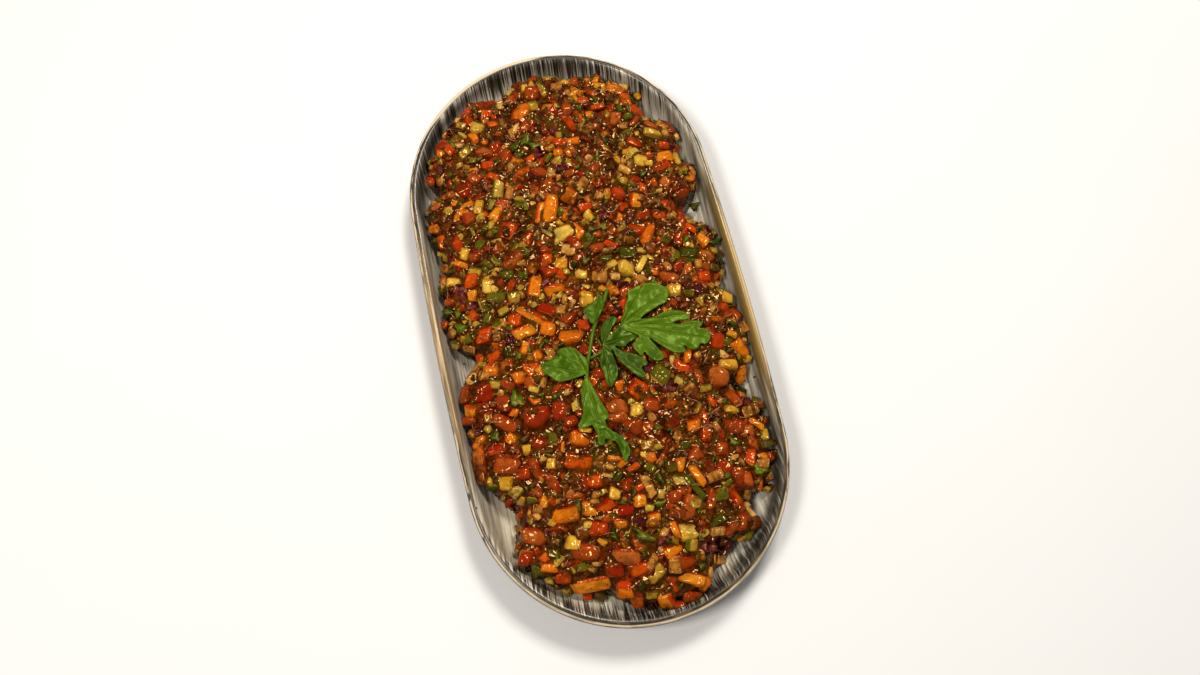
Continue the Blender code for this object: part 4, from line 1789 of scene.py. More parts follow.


# Pieces that stand out in the photograph, read off it. Each row gives the pixel of a
# piece's middle, its length and width in millimetres, and its turn in degrees, if it has one.
PIECES_SEEN: dict[str, tuple[tuple[float, ...], ...]] = {
    "red_pepper": (
        (487, 113, 6, 4.5, 10), (492, 125, 5, 3.5, 10), (597, 107, 7, 3, 5),
        (569, 123, 12, 5.5, -40), (522, 175, 9.5, 8.5), (464, 190, 8, 6.5),
        (508, 232, 11, 9, 80), (546, 262, 7, 6, 90), (636, 141, 9, 6), (618, 193, 8.5, 7, 80),
        (642, 187, 5, 3.5, 80), (658, 215, 7.5, 5.5, 30), (678, 239, 5.5, 4, 80),
        (690, 227, 7, 3, -35), (471, 281, 7.5, 6, 90), (548, 268, 8.5, 7, -60),
        (484, 335, 9, 8.5), (514, 318, 7, 6.5), (547, 308, 9, 5, -30), (494, 358, 6.5, 6),
        (483, 392, 8.5, 8), (704, 275, 6, 5.5, 10), (735, 314, 8, 4.5, -55),
        (717, 341, 7, 6, 90), (638, 389, 9, 9, 55), (668, 401, 8, 7, -30),
        (706, 433, 8.5, 6.5, 90), (495, 449, 8, 4.5, 15), (521, 473, 9, 7),
        (578, 460, 13, 9, -10), (595, 480, 8, 6), (606, 506, 8, 5.5, 35), (625, 511, 9, 5),
        (600, 529, 9, 6), (639, 568, 10, 7, 20), (563, 578, 6, 4.5), (639, 599, 7, 7),
        (708, 467, 5.5, 5), (734, 496, 11, 4.5, 85), (774, 453, 4.5, 4), (610, 244, 7, 3, -30),
        (615, 570, 8, 7),
    ),
    "orange_pepper": (
        (466, 114, 7, 4.5, 15), (474, 138, 6, 4.5, -60), (520, 112, 13, 9, 80),
        (583, 100, 4.5, 4), (560, 142, 7, 4.5, -10), (573, 141, 8, 4.5, 5), (559, 152, 4.5, 4),
        (474, 171, 5.5, 3.5), (487, 165, 6, 4.5), (550, 210, 14, 6, 85), (540, 212, 10, 6, 85),
        (571, 196, 9, 8, -30), (575, 230, 11, 6, -50), (586, 207, 6, 4.5, 15),
        (434, 229, 6, 5.5), (664, 156, 8.5, 7.5, 10), (663, 144, 6, 4),
        (635, 201, 10, 5.5, 85), (647, 237, 13.5, 5, 60), (620, 219, 6, 4, 80),
        (703, 240, 7, 4.5, -50), (532, 268, 5.5, 5, 90), (535, 286, 10, 6, 85),
        (556, 289, 9, 5, 20), (471, 296, 6, 5, 90), (529, 314, 14, 5.5, -35),
        (525, 331, 10, 6, 25), (548, 329, 8.5, 6.5, -10), (571, 334, 11, 9),
        (584, 325, 5.5, 5), (481, 359, 6.5, 4.5, 80), (491, 371, 7, 5), (470, 411, 6.5, 5.5),
        (581, 438, 10, 7), (479, 443, 7, 4.5, 80), (741, 348, 9, 5.5, -30),
        (741, 373, 9, 5, -65), (688, 355, 7, 4, 80), (680, 367, 8, 6, -30), (694, 425, 7, 6),
        (758, 424, 7, 3.5, -35), (481, 466, 14, 7, 85), (589, 509, 7, 6.5),
        (565, 515, 12, 8, -10), (641, 501, 6, 5.5), (620, 523, 6, 5), (653, 519, 7, 7),
        (589, 583, 16, 9, 10), (587, 595, 5, 4.5), (625, 590, 11, 6.5, 10),
        (667, 600, 10, 8, -75), (698, 475, 11, 5, -60), (680, 464, 6.5, 4.5, 80),
        (751, 456, 8, 4, 80), (673, 550, 9, 4.5, 40), (691, 579, 12, 6, -15),
        (705, 584, 7, 5, 60), (549, 568, 7, 4),
    ),
    "yellow_pepper": (
        (461, 127, 5.5, 5, 70), (524, 88, 5.5, 4, 90), (600, 87, 6, 6), (479, 207, 7, 4, 80),
        (566, 232, 8.5, 7, 20), (561, 262, 6, 5), (607, 250, 6.5, 4.5), (464, 254, 6, 4.5, 80),
        (449, 211, 6, 5), (638, 95, 4.5, 4.5, 45), (641, 161, 6, 6), (649, 163, 4, 3.5),
        (453, 283, 6, 5.5), (490, 285, 7.5, 7), (582, 275, 5, 5), (585, 300, 9, 8.5),
        (628, 268, 9.5, 8, -10), (641, 264, 8, 4, 60), (674, 291, 7, 6), (727, 298, 5.5, 5.5),
        (728, 364, 7.5, 5.5), (638, 410, 6, 5.5), (732, 410, 7, 4.5), (585, 430, 6, 2.5),
        (505, 483, 6.5, 6), (521, 501, 5.5, 5.5), (552, 463, 4.5, 4), (588, 525, 4.5, 4),
        (573, 543, 7.5, 6, 80), (649, 444, 7.5, 6), (615, 494, 6, 5.5), (747, 493, 6, 4.5, 90),
        (768, 488, 6, 4.5), (689, 531, 8.5, 8), (489, 418, 4.5, 4.5),
    ),
    "cucumber": (
        (478, 129, 7.5, 6.5), (464, 153, 9, 4.5, 50), (543, 90, 9, 4.5, -65),
        (534, 105, 7, 6, 20), (498, 190, 9, 6, 80), (480, 243, 7, 4.5, 70),
        (491, 225, 4.5, 3.5, 80), (653, 132, 9, 4.5, -10), (641, 250, 4.5, 4.5),
        (715, 267, 4.5, 4), (445, 268, 5, 4.5), (474, 271, 7, 4.5, -15), (496, 298, 8.5, 4.5),
        (514, 297, 6, 6), (484, 304, 7, 4, -70), (495, 384, 5.5, 5), (553, 439, 6.5, 5, 90),
        (721, 291, 6, 4, -60), (747, 358, 4.5, 3.5, 70), (661, 376, 8, 7.5, -40),
        (698, 408, 5.5, 3, 70), (764, 435, 6.5, 4, 90), (649, 467, 7, 4, -30),
        (721, 494, 7, 7), (696, 501, 5.5, 5.5), (679, 481, 6, 5.5), (692, 544, 6, 5, 90),
        (657, 573, 8, 7.5, 35), (652, 595, 6, 3.5), (650, 508, 4, 3.5),
        (559, 560, 5.5, 3.5, 35), (456, 345, 4.5, 4),
    ),
    "white_onion": (
        (555, 87, 6, 5), (551, 172, 5.5, 5, 90), (532, 165, 4.5, 4), (583, 183, 5.5, 4.5, 60),
        (531, 194, 4.5, 4), (536, 232, 4.5, 4), (596, 205, 4, 4), (604, 176, 7, 5),
        (668, 219, 5, 4, 60), (650, 147, 5, 4.5), (625, 160, 4, 4), (625, 170, 6, 4.5, -20),
        (624, 125, 5, 4), (628, 240, 6, 4), (669, 250, 6, 4, -10), (568, 250, 7, 6),
        (522, 263, 4, 3.5), (599, 277, 7, 7), (522, 294, 4, 2, -65), (497, 335, 5.5, 4, 90),
        (560, 310, 5.5, 4.5), (564, 324, 4, 3), (484, 375, 4.5, 4), (541, 381, 6.5, 6.5),
        (548, 355, 5.5, 4.5, 80), (615, 276, 4.5, 4), (698, 264, 4.5, 3.5, 90),
        (671, 397, 4, 3.5), (723, 328, 4.5, 3.5, 90), (751, 410, 8, 6, 20),
        (729, 389, 6, 4, -40), (538, 509, 4.5, 4), (521, 529, 5.5, 4.5),
        (596, 498, 6.5, 4.5, 80), (714, 477, 7, 5, 20), (648, 487, 10, 5, -70),
        (653, 561, 7, 4, 60), (763, 463, 5, 4), (717, 531, 7, 4.5), (718, 558, 7, 5),
        (675, 564, 7, 6, 90),
    ),
    "tomato": (
        (495, 147, 7, 5, 90), (570, 173, 6.5, 6.5), (474, 258, 6, 5), (432, 186, 5, 4.5),
        (615, 118, 9, 6, 90), (634, 122, 8, 3.5, 60), (651, 125, 7, 3, -20), (680, 213, 6, 6),
        (681, 192, 11, 6, 20), (597, 248, 7, 4.5, 25), (450, 302, 5.5, 4.5),
        (444, 325, 5.5, 4.5), (507, 368, 10, 8, 90), (465, 394, 9, 6, 90), (504, 403, 8, 7),
        (536, 417, 14, 11), (561, 411, 9, 8, 90), (572, 420, 7, 6), (468, 421, 8, 5),
        (507, 424, 15, 6, -25), (615, 401, 12, 12), (616, 416, 11, 7), (652, 404, 8, 6),
        (671, 277, 10, 6), (718, 375, 11, 10), (734, 398, 10, 5, -60), (735, 427, 10, 7),
        (748, 431, 7, 6), (508, 465, 13, 9), (534, 535, 11, 10), (583, 532, 9, 7),
        (588, 552, 13, 8), (625, 556, 12, 7), (526, 558, 8, 7, 90), (677, 510, 10, 8),
        (688, 507, 10, 7, 90), (697, 455, 8, 7, 50), (724, 448, 7.5, 6.5),
        (740, 475, 10, 6, -70), (748, 478, 7, 5, 90), (711, 501, 10, 5, 80), (741, 521, 9, 8),
        (732, 528, 9, 4.5, 60), (688, 564, 8, 6), (692, 598, 10, 8), (680, 607, 7, 5),
    ),
    "red_onion": (
        (585, 105, 4.5, 2.5), (538, 152, 5, 4, -70), (603, 216, 4.5, 4.5),
        (441, 170, 5, 3, -60), (460, 291, 6, 5), (468, 301, 11, 4.5, -45), (511, 340, 4, 3.5),
        (480, 429, 6, 3, 70), (570, 441, 7, 3, 70), (621, 285, 6, 3.5), (694, 287, 9, 4, -25),
        (670, 388, 6.5, 4.5), (649, 368, 4.5, 4), (744, 402, 6, 4.5), (640, 521, 6, 6),
        (718, 542, 12, 8, -35), (708, 547, 6, 5),
    ),
    "green_pepper": (
        (608, 97, 6, 4.5, 90), (627, 115, 4.5, 4.5), (628, 252, 7, 6), (605, 259, 5, 3.5),
        (523, 275, 6, 5), (507, 274, 7, 5), (488, 264, 7, 3, -35), (488, 319, 5.5, 4.5, 80),
        (508, 351, 6, 4.5, 90), (729, 341, 5.5, 5), (740, 390, 7, 3, -20),
        (618, 477, 6, 4, 60), (554, 554, 6, 5), (687, 444, 5, 4), (672, 467, 6, 5),
        (695, 487, 11, 3, -50), (718, 521, 9, 4.5, 30), (768, 444, 8, 3.5, 10),
        (600, 594, 6.5, 6), (690, 252, 9, 5), (493, 164, 5, 4, 20),
    ),
    "chopped_parsley": (
        (515, 147, 8, 4.5, 20), (526, 140, 7, 4.5, 60), (535, 148, 6, 4), (520, 155, 6, 3, 10),
        (632, 101, 5, 2.5, -45), (620, 110, 6, 3, -55), (694, 207, 6, 4, 10),
        (675, 197, 4.5, 2), (687, 238, 4.5, 4), (586, 262, 5, 4), (527, 253, 8, 5),
        (643, 174, 4.5, 3.5), (454, 253, 7, 2.5, -50), (448, 313, 6, 4.5), (458, 315, 4, 4),
        (462, 328, 6, 5), (518, 398, 10, 7, 90), (495, 436, 6.5, 4.5, -60),
        (527, 438, 9, 3, 35), (708, 358, 10, 3.5, 65), (577, 506, 6.5, 3.5, -65),
        (614, 537, 9, 3.5, -65), (645, 537, 12, 5, -30), (538, 571, 9, 6, 90),
        (540, 591, 5.5, 3.5, 90), (660, 479, 6, 3, -60), (661, 504, 6, 3, 15),
        (761, 470, 8, 4.5, -20), (703, 567, 4, 4), (716, 242, 9, 3.5, 25),
    ),
    "parsley_stalks": (
        (548, 158, 5, 2.5, 60), (526, 206, 6, 2.5, -75), (548, 234, 6, 2.5, -35),
        (473, 232, 5, 2, -60), (491, 206, 5.5, 3, 60), (673, 375, 4, 2.5), (473, 161, 3.5, 3),
    ),
}

CRUMBS = {"uneven": 0.2, "smear": 0.8}  # what the smallest lumps have in common
INGREDIENTS: tuple[Kind, ...] = (
    Kind("red_pepper", CutFinish(
        "red_pepper_flesh", (paint(146, 38, 0), paint(196, 62, 0), paint(216, 100, 8)),
        paint(150, 24, 0), middle=0.45,
    ), (
        Batch(Form.DICE, 170, (6, 5, 3.4), (11, 8, 5)),
        Batch(Form.DICE, 240, (3.6, 3, 2.6), (8, 5.4, 4)),
        Batch(Form.SOFT, 50, (2.6, 2.2, 1.8), (4.6, 3.6, 2.8), **CRUMBS),
    )),
    Kind("tomato", CutFinish(
        "tomato_pulp", (paint(116, 35, 4), paint(162, 64, 12), paint(190, 106, 38)),
        paint(150, 37, 4), glow=0.3, roughness=0.06,
    ), (
        Batch(Form.SOFT, 280, (6, 5, 4), (11, 8, 5), smear=0.34),
        Batch(Form.SOFT, 300, (4.2, 3.6, 2.8), (9.4, 6.4, 4), smear=0.3),
        Batch(Form.SOFT, 120, (2.6, 2.2, 1.6), (5, 4, 2.6), **CRUMBS),
    )),
    Kind("orange_pepper", CutFinish(
        "orange_pepper_flesh", (paint(200, 84, 6), paint(222, 120, 12), paint(228, 150, 34)),
        paint(196, 60, 6),
    ), (
        Batch(Form.DICE, 150, (5.6, 4.6, 3.2), (11, 7.5, 4.6)),
        Batch(Form.DICE, 220, (3.4, 3, 2.6), (8, 5.2, 3.8)),
        Batch(Form.SOFT, 40, (2.6, 2.2, 1.8), (4.4, 3.4, 2.6), **CRUMBS),
    )),
    Kind("yellow_pepper", CutFinish(
        "yellow_pepper_flesh", (paint(200, 140, 30), paint(222, 172, 50), paint(232, 200, 96)),
        paint(206, 136, 18),
    ), (
        Batch(Form.DICE, 80, (4.6, 4, 3.2), (8, 6, 4.2)),
        Batch(Form.DICE, 170, (3.4, 3, 2.6), (6.4, 5, 3.8)),
        Batch(Form.CRUMB, 40, (2, 1.8, 1.5), (3.8, 3.2, 2.4), smear=0.75),
    )),
    Kind("cucumber", CutFinish(
        "cucumber_flesh", (paint(150, 110, 20), paint(188, 144, 42), paint(210, 178, 80)),
        paint(92, 90, 8), skin_from=0.76, glow=0.35,
    ), (
        Batch(Form.DICE, 110, (4.6, 3.8, 3), (8, 5.6, 4)),
        Batch(Form.DICE, 280, (3.2, 2.8, 2.4), (6.6, 4.6, 3.4), smear=0.34),
        Batch(Form.CRUMB, 40, (2, 1.8, 1.5), (3.8, 3.2, 2.4), smear=0.75),
    )),
    Kind("white_onion", CutFinish(
        "white_onion_flesh", (paint(166, 98, 30), paint(206, 142, 56), paint(234, 188, 108)),
        paint(178, 110, 44), glow=0.3, roughness=0.06,
    ), (
        Batch(Form.CURL, 150, (5, 4, 2), (9, 6, 2.8), bend=0.5, lean=0.4, smear=0.5),
        Batch(Form.SOFT, 420, (3.4, 2.8, 2.2), (6.6, 4.8, 3.2), lean=0.4, smear=0.34),
        Batch(Form.CRUMB, 70, (1.8, 1.6, 1.2), (3.8, 3.0, 2.2), smear=0.75),
    )),
    Kind("red_onion", CutFinish(
        "red_onion_flesh", (paint(84, 22, 26), paint(122, 46, 48), paint(180, 112, 92)),
        paint(72, 14, 26), middle=0.55, skin_from=0.66, glow=0.35,
    ), (
        Batch(Form.CURL, 24, (5, 3, 1.4), (9, 4.4, 2.0), bend=0.6, lean=0.4),
        Batch(Form.CURL, 56, (4, 2.6, 1.3), (7.5, 3.8, 1.8), bend=0.6, lean=0.4),
        Batch(Form.CURL, 50, (2.4, 1.6, 1.0), (4, 2.6, 1.4), bend=0.5, lean=0.4, smear=0.5),
    )),
    Kind("green_pepper", CutFinish(
        "green_pepper_flesh", (paint(46, 50, 3), paint(78, 76, 8), paint(116, 108, 22)),
        paint(36, 48, 2),
    ), (
        Batch(Form.DICE, 20, (4, 3, 2.4), (7.5, 4.8, 3.4), smear=0.45),
        Batch(Form.DICE, 50, (3, 2.4, 2), (6, 3.8, 2.8), smear=0.45),
        Batch(Form.CRUMB, 30, (1.6, 1.4, 1), (3.4, 2.6, 1.8), smear=0.75),
    )),
    Kind("chopped_parsley", CutFinish(
        "chopped_parsley_leaf", (paint(24, 38, 1), paint(50, 68, 3), paint(96, 116, 14)),
        paint(44, 62, 3), skin_from=2.0, glow=0.1, roughness=0.26,
    ), (
        Batch(Form.FLAKE, 60, (4, 3, 0.7), (9, 6, 1.1), bend=0.5, lean=0.5, sunk=0),
        Batch(Form.FLAKE, 200, (3.4, 2.4, 0.6), (8, 5, 1.0), bend=0.6, lean=0.5, sunk=0),
        Batch(Form.FLAKE, 420, (2, 1.4, 0.4), (5, 3.2, 0.8), bend=0.7, lean=0.5, sunk=0, smear=0.3),
    )),
    Kind("parsley_stalks", CutFinish(
        "parsley_stalk_rind", (paint(96, 98, 10), paint(128, 126, 26), paint(172, 164, 70)),
        paint(110, 120, 24), skin_from=2.0, glow=0.25,
    ), (
        Batch(Form.STALK, 20, (4, 1.2, 1.2), (9, 1.8, 1.8), sunk=0),
        Batch(Form.STALK, 50, (3, 1.1, 1.1), (8, 1.7, 1.7), sunk=0),
        Batch(Form.STALK, 110, (2, 0.8, 0.8), (6, 1.3, 1.3), sunk=0, smear=0.5),
    )),
)


@dataclass
class Fibres:
    """Thin pale threads of onion skin and pulp, which lie twisted over the pieces."""

    chopper: Chopper
    count: int = 220
    radius: float = 0.16 * MM
    length: tuple[float, float] = (4 * MM, 13 * MM)
    steps: int = 9
    sides: int = 3
    wander: float = 0.45     # spread of the turn at each step
    above: float = 0.1 * MM  # the pieces
    taper: float = 0.5       # how far from its thinnest a thread ends, as an angle

    def thread(self) -> Array:
        """Let one thread wander over the pieces.

        Returns:
            Points along its middle.
        """
        draw, ground = self.chopper.draw, self.chopper.ground
        row, column = self.chopper.inside[draw.integers(len(self.chopper.inside))]
        step = draw.uniform(*self.length) / self.steps
        turns = draw.uniform(0, math.tau) + np.cumsum(draw.normal(0, self.wander, self.steps))
        x = ground.xs[column] + np.cumsum(step * np.cos(turns))
        y = ground.ys[row] + np.cumsum(step * np.sin(turns))
        plan = np.stack([x, y], 1)
        top = ground.look_up(ground.top, plan)
        top = np.convolve(np.pad(top, 1, mode="edge"), [0.25, 0.5, 0.25], mode="valid")
        top = np.minimum(top + self.above, ground.look_up(ground.ceiling, plan) - self.radius)
        return np.column_stack([plan, top])

    def build(self) -> Item:
        """Join all threads, each a bar of few sides with closed ends.

        Returns:
            The threads.
        """
        points, faces = [], []
        angle = math.tau * np.arange(self.sides) / self.sides
        for _ in range(self.count):
            middle = self.thread()
            if (self.chopper.ground.look_up(self.chopper.ground.inwards, middle) < 0).any():
                continue
            along = np.gradient(middle, axis=0)
            along /= np.linalg.norm(along, axis=1, keepdims=True)
            across = np.cross(along, (0, 0, 1))
            across /= np.linalg.norm(across, axis=1, keepdims=True)
            up = np.cross(across, along)
            share = np.linspace(self.taper, math.pi - self.taper, len(middle))
            thick = self.radius * np.sin(share)
            start = sum(len(part) for part in points)
            around = across[:, None] * np.cos(angle)[None, :, None]
            around = around + up[:, None] * np.sin(angle)[None, :, None]
            points.append((middle[:, None] + around * thick[:, None, None]).reshape(-1, 3))
            for step in range(len(middle) - 1):
                low, high = start + step * self.sides, start + (step + 1) * self.sides
                for side in range(self.sides):
                    after = (side + 1) % self.sides
                    faces.append((low + side, high + side, high + after))
                    faces.append((low + side, high + after, low + after))
            last = start + (len(middle) - 1) * self.sides
            faces += [(start, start + 1, start + 2), (last, last + 2, last + 1)]
        item = mesh_of("onion_fibres", np.concatenate(points), np.array(faces))
        finish = PlainFinish(
            "pale_fibre", paint(222, 184, 120), paint(176, 118, 58), roughness=0.15, coat=0.2
        )
        finish_piece(item, "onion_fibres", "chopped_salad", finish.make())
        return item


# ---- parsley


@dataclass(frozen=True)
class Leaflet:
    """One leaflet, as read off the photograph: pixels of its outline's corners and of its veins.

    Args:
        curl: How far its edge curls up, in metres.
        tint: Its colour, from 0 for the darkest to 1 for the lightest green; the light tint of the
            leaflet at the right is partly painted sheen.
        base: Where its veins start.
        tips: Where its veins end.
        corners: Its outline.
    """

    curl: float
    tint: float
    base: tuple[float, float]
    tips: Plan
    corners: Plan


# The leaflets, the lowest first.
LEAFLETS: tuple[Leaflet, ...] = (
    Leaflet(0.3 * MM, 0.2, (603, 344), ((613, 317), (637, 335), (645, 376), (611, 386)), (
        (600, 337), (601, 328), (604, 321), (609, 317), (614, 316), (618, 318), (617, 322),
        (612, 328), (609.5, 335), (612, 334), (617, 328), (624, 323), (632, 326), (639, 335),
        (634, 341), (628, 343), (626, 347), (620, 347), (613, 345.5), (620, 350), (628, 353),
        (637, 354), (642, 357), (648, 362), (647, 366), (641, 367), (646, 373), (645, 378),
        (640, 378), (633, 373), (626, 367), (620, 362), (616, 356), (611, 347.5), (613, 355),
        (617, 364), (618.5, 372), (617, 380), (612, 387), (608, 386), (605, 379), (603, 372),
        (600, 365), (600, 356), (602, 349), (603, 344),
    )),
    # The right-hand leaflet, its light tint partly painted sheen.
    Leaflet(1.1 * MM, 0.85, (622, 325), (
        (642, 287), (664, 292), (686, 314), (700, 324), (708, 338), (682, 350), (661, 358),
        (641, 355),
    ), (
        (620, 321), (624, 314), (625, 305), (628, 298), (627, 292), (632, 289), (640, 285),
        (641, 289), (644, 284), (653, 283), (661, 285), (667, 289), (669, 296), (666, 303),
        (660, 305), (652, 310.5), (645, 315), (640, 319.5), (648, 319.5), (655, 317.5), (662, 313),
        (670, 311), (680, 311), (687, 313), (690, 317), (687, 320), (679, 320.5), (672, 323.5),
        (679, 324.5), (685, 322.5), (692, 321), (700, 321.5), (703, 325), (698, 329), (704, 329),
        (709, 331), (711, 336), (709, 342), (705, 345), (700, 343.5), (699, 348), (693, 350.5),
        (687, 348.5), (680, 343.5), (686, 349.5), (686, 352.5), (680, 353.5), (674, 353), (668, 350),
        (662, 347), (655, 341.5), (647.5, 336.5), (654, 344), (660, 350), (664, 356), (663, 360),
        (657, 361.5), (651, 359), (646, 354.5), (644.5, 351), (643, 356), (641, 357), (638, 353),
        (634, 349), (632, 344), (636, 341), (640, 337), (632, 333), (624, 330),
    )),
    Leaflet(1.0 * MM, 0.55, (587, 374), ((545, 366), (558, 350), (560, 380), (574, 351)), (
        (588, 374), (576, 378), (568, 381), (561, 382.5), (556, 381.5), (551, 378), (547, 376),
        (543, 371), (541, 366), (544, 363), (550, 361), (556, 356), (561, 358), (556, 352),
        (560, 349), (566, 347.5), (573, 348), (579, 352), (583, 356), (588, 360), (589, 367),
    )),
    Leaflet(0.8 * MM, 0.65, (586, 377), ((607, 417), (580, 427), (600, 424)), (
        (585, 377), (582, 388), (581.5, 400), (583, 408), (583, 414), (581, 420), (578, 426),
        (580, 429), (586, 428), (592, 425), (597, 430), (607, 429), (605, 421), (609, 418),
        (608.5, 413), (603, 405), (598, 397), (594, 389), (590, 382), (587, 377),
    )),
    Leaflet(0.9 * MM, 0.45, (594, 422), ((613, 436), (626, 460), (602, 444)), (
        (590, 420), (594, 428), (597, 433), (598, 438), (597, 443), (601, 446.5), (605, 444),
        (605, 438), (611, 441), (616, 442), (619, 446), (621, 452), (623, 459), (625, 463.5),
        (628, 460), (630.5, 452), (628, 445), (624, 438), (618, 434), (612, 431), (607, 427),
        (600, 419),
    )),
    Leaflet(0.8 * MM, 0.35, (594, 322), ((600, 298), (585, 311)), (
        (596, 295), (601, 296), (604, 303), (603, 310), (600, 316), (597, 321), (593, 326),
        (589, 322), (587, 316), (582, 311), (586, 306), (592, 304), (597, 301),
    )),
)


@dataclass
class Sprig:
    """The parsley sprig that lies on the salad: leaflets with veins, on a branched stalk."""

    view: Viewpoint
    heap: Heap = Heap()
    thickness: float = 0.4 * MM
    lift: float = 1.5 * MM         # from the highest lump nearby to the leaf's middle
    lump_reach: float = 4 * MM
    pitch: float = 0.42 * MM
    outline_step: float = 0.2 * MM
    brim: float = 4 * MM           # width over which a leaf's edge curls
    curl_wave: float = 9 * MM
    quilt: float = 0.3 * MM
    quilt_wave: float = 3.2 * MM
    fold: float = 0.8 * MM
    fold_wave: float = 7.5 * MM
    tint_wave: float = 12 * MM
    layer_step: float = 0.15 * MM  # from one leaflet up to the next
    stem_radius: float = 0.9 * MM
    stem_lift: float = 0.6 * MM    # from the highest lump nearby to the stem's underside
    petiole_radius: float = 0.7 * MM
    petiole_sink: float = 1.2 * MM
    weld: float = 0.01 * MM
    # Plan points of the stalks, in millimetres.
    stem: Plan = (
        (9.9, 9.9), (6.3, 3.2), (2.5, -2.1), (-1.7, -8.6), (-4.6, -16.1), (-7.2, -22.2),
        (-9.4, -28.3), (-10.7, -36), (-11.5, -44), (-11.5, -51), (-7.5, -58),
    )
    petiole: Plan = ((15.1, -10.6), (10, -14.5), (3.8, -18.4), (-1.5, -20.5), (-7, -22))

    def resting(self, x: Array, y: Array) -> Array:
        """Height of the highest lump of salad near plan points.

        Args:
            x: Plan points across the dish.
            y: Plan points along the dish.

        Returns:
            A height for each point.
        """
        highest = self.heap.height(x, y)
        for step in range(8):
            angle = math.tau * step / 8
            near_x = x + self.lump_reach * math.cos(angle)
            near_y = y + self.lump_reach * math.sin(angle)
            highest = np.maximum(highest, self.heap.height(near_x, near_y))
        return highest

    def plan(self, pixels: Plan) -> Array:
        """Plan points of the sprig that show at pixels of the photograph."""
        points = [self.view.plan_point(*pixel, self.above)[:2] for pixel in pixels]
        return np.array(points)

    def above(self, x: Array, y: Array) -> Array:
        """Height at which the leaves lie over the salad."""
        return self.resting(x, y) + self.lift

    def outline(self, leaf: Leaflet, cuts: int = 2) -> Array:
        """Outline of a leaflet in plan, with its corners rounded off.

        Args:
            leaf: The leaflet.
            cuts: How often the corners are cut.

        Returns:
            Points round the leaflet, evenly apart.
        """
        loop = self.plan(leaf.corners)
        for _ in range(cuts):
            after = np.roll(loop, -1, axis=0)
            loop = np.stack([0.8 * loop + 0.2 * after, 0.2 * loop + 0.8 * after], 1).reshape(-1, 2)
        closed = np.vstack([loop, loop[:1]])
        walked = np.concatenate([[0], np.cumsum(np.hypot(*np.diff(closed, axis=0).T))])
        even = np.arange(0, walked[-1], self.outline_step)
        return np.column_stack([np.interp(even, walked, part) for part in closed.T])

    @staticmethod
    def within(loop: Array, points: Array) -> Array:
        """Whether each plan point lies inside a closed outline.

        Args:
            loop: The outline's corners.
            points: The points.

        Returns:
            A truth value for each point.
        """
        x, y = points[:, 0][:, None], points[:, 1][:, None]
        x0, y0 = loop.T
        x1, y1 = np.roll(loop, -1, axis=0).T
        rise = np.where(y1 == y0, TINY, y1 - y0)
        crossing = ((y0 > y) != (y1 > y)) & (x < x0 + (y - y0) * (x1 - x0) / rise)
        return crossing.sum(1) % 2 == 1

    def veins(self, leaf: Leaflet, points: Array) -> Array:
        """How near plan points of a leaflet are to a vein.

        Args:
            leaf: The leaflet.
            points: The points.

        Returns:
            A share for each point, 1 on a vein and 0 away from it.
        """
        base, *tips = self.plan((leaf.base, *leaf.tips))
        near = np.zeros(len(points))
        for tip in tips:
            length = np.hypot(*(tip - base))
            ahead = (tip - base) / length
            along = np.clip((points - base) @ ahead, 0, length)
            off = np.hypot(*(points - base - along[:, None] * ahead).T)
            width = (0.55 - 0.3 * along / length) * MM
            near = np.maximum(near, np.exp(-(off / width) ** 2))
        return near

    def leaf(self, leaf: Leaflet, layer: int) -> Item:
        """Model a leaflet: a fine grid, trimmed to the outline, draped, veined and thickened.

        Args:
            leaf: The leaflet.
            layer: How many leaflets lie under it.

        Returns:
            The leaflet.
        """
        loop = self.outline(leaf)
        low, high = loop.min(0) - MM, loop.max(0) + MM
        steps = np.ceil((high - low) / self.pitch).astype(int)
        choose()
        bpy.ops.mesh.primitive_grid_add(x_subdivisions=steps[0], y_subdivisions=steps[1], size=1)
        item = active()
        points = places(item)
        points[:, :2] = low + (points[:, :2] + 0.5) * (high - low)
        to_edge = np.array([np.hypot(*(loop - point).T).min() for point in points[:, :2]])
        inside = self.within(loop, points[:, :2])
        kept = inside | (to_edge < 0.4 * self.pitch)
        for index in np.flatnonzero(to_edge < 0.75 * self.pitch):
            points[index, :2] = loop[np.argmin(np.hypot(*(loop - points[index, :2]).T))]
        x, y = points[:, 0], points[:, 1]
        vein = self.veins(leaf, points[:, :2])
        brim = ease(self.brim, 0, np.where(inside, to_edge, 0))
        wave = 0.5 + 0.5 * ripple(x, y + 7 * MM * layer, self.curl_wave)
        roll = ripple(x + 3 * MM * layer, y, self.fold_wave)
        crease = self.quilt * (ripple(x, y, self.quilt_wave) - 1.6 * vein) + self.fold * roll
        curl = brim * leaf.curl * wave * 1.6
        points[:, 2] = self.above(x, y) + curl + crease + self.layer_step * layer
        move_to(item, points)
        keep_value(item, "vein", vein)
        # Painted light and shade: the tint is lighter on the crests of the broad folds and darker in
        # their hollows.
        keep_value(item, "tint", leaf.tint + 0.2 * ripple(x, y, self.tint_wave) + 0.16 * roll)
        mark(item, ~kept)

        def trim() -> None:
            """Drop what lies outside the outline."""
            bpy.ops.mesh.select_mode(type="VERT")
            bpy.ops.mesh.delete(type="VERT")
            select_whole()
            bpy.ops.mesh.delete_loose()
            select_whole()
            bpy.ops.mesh.dissolve_degenerate(threshold=2 * self.weld)
            select_whole()
            bpy.ops.mesh.normals_make_consistent(inside=False)

        edit(trim, everything=False)
        apply(item, "SOLIDIFY", thickness=self.thickness, offset=0.0)
        item.data.shade_smooth()
        return item

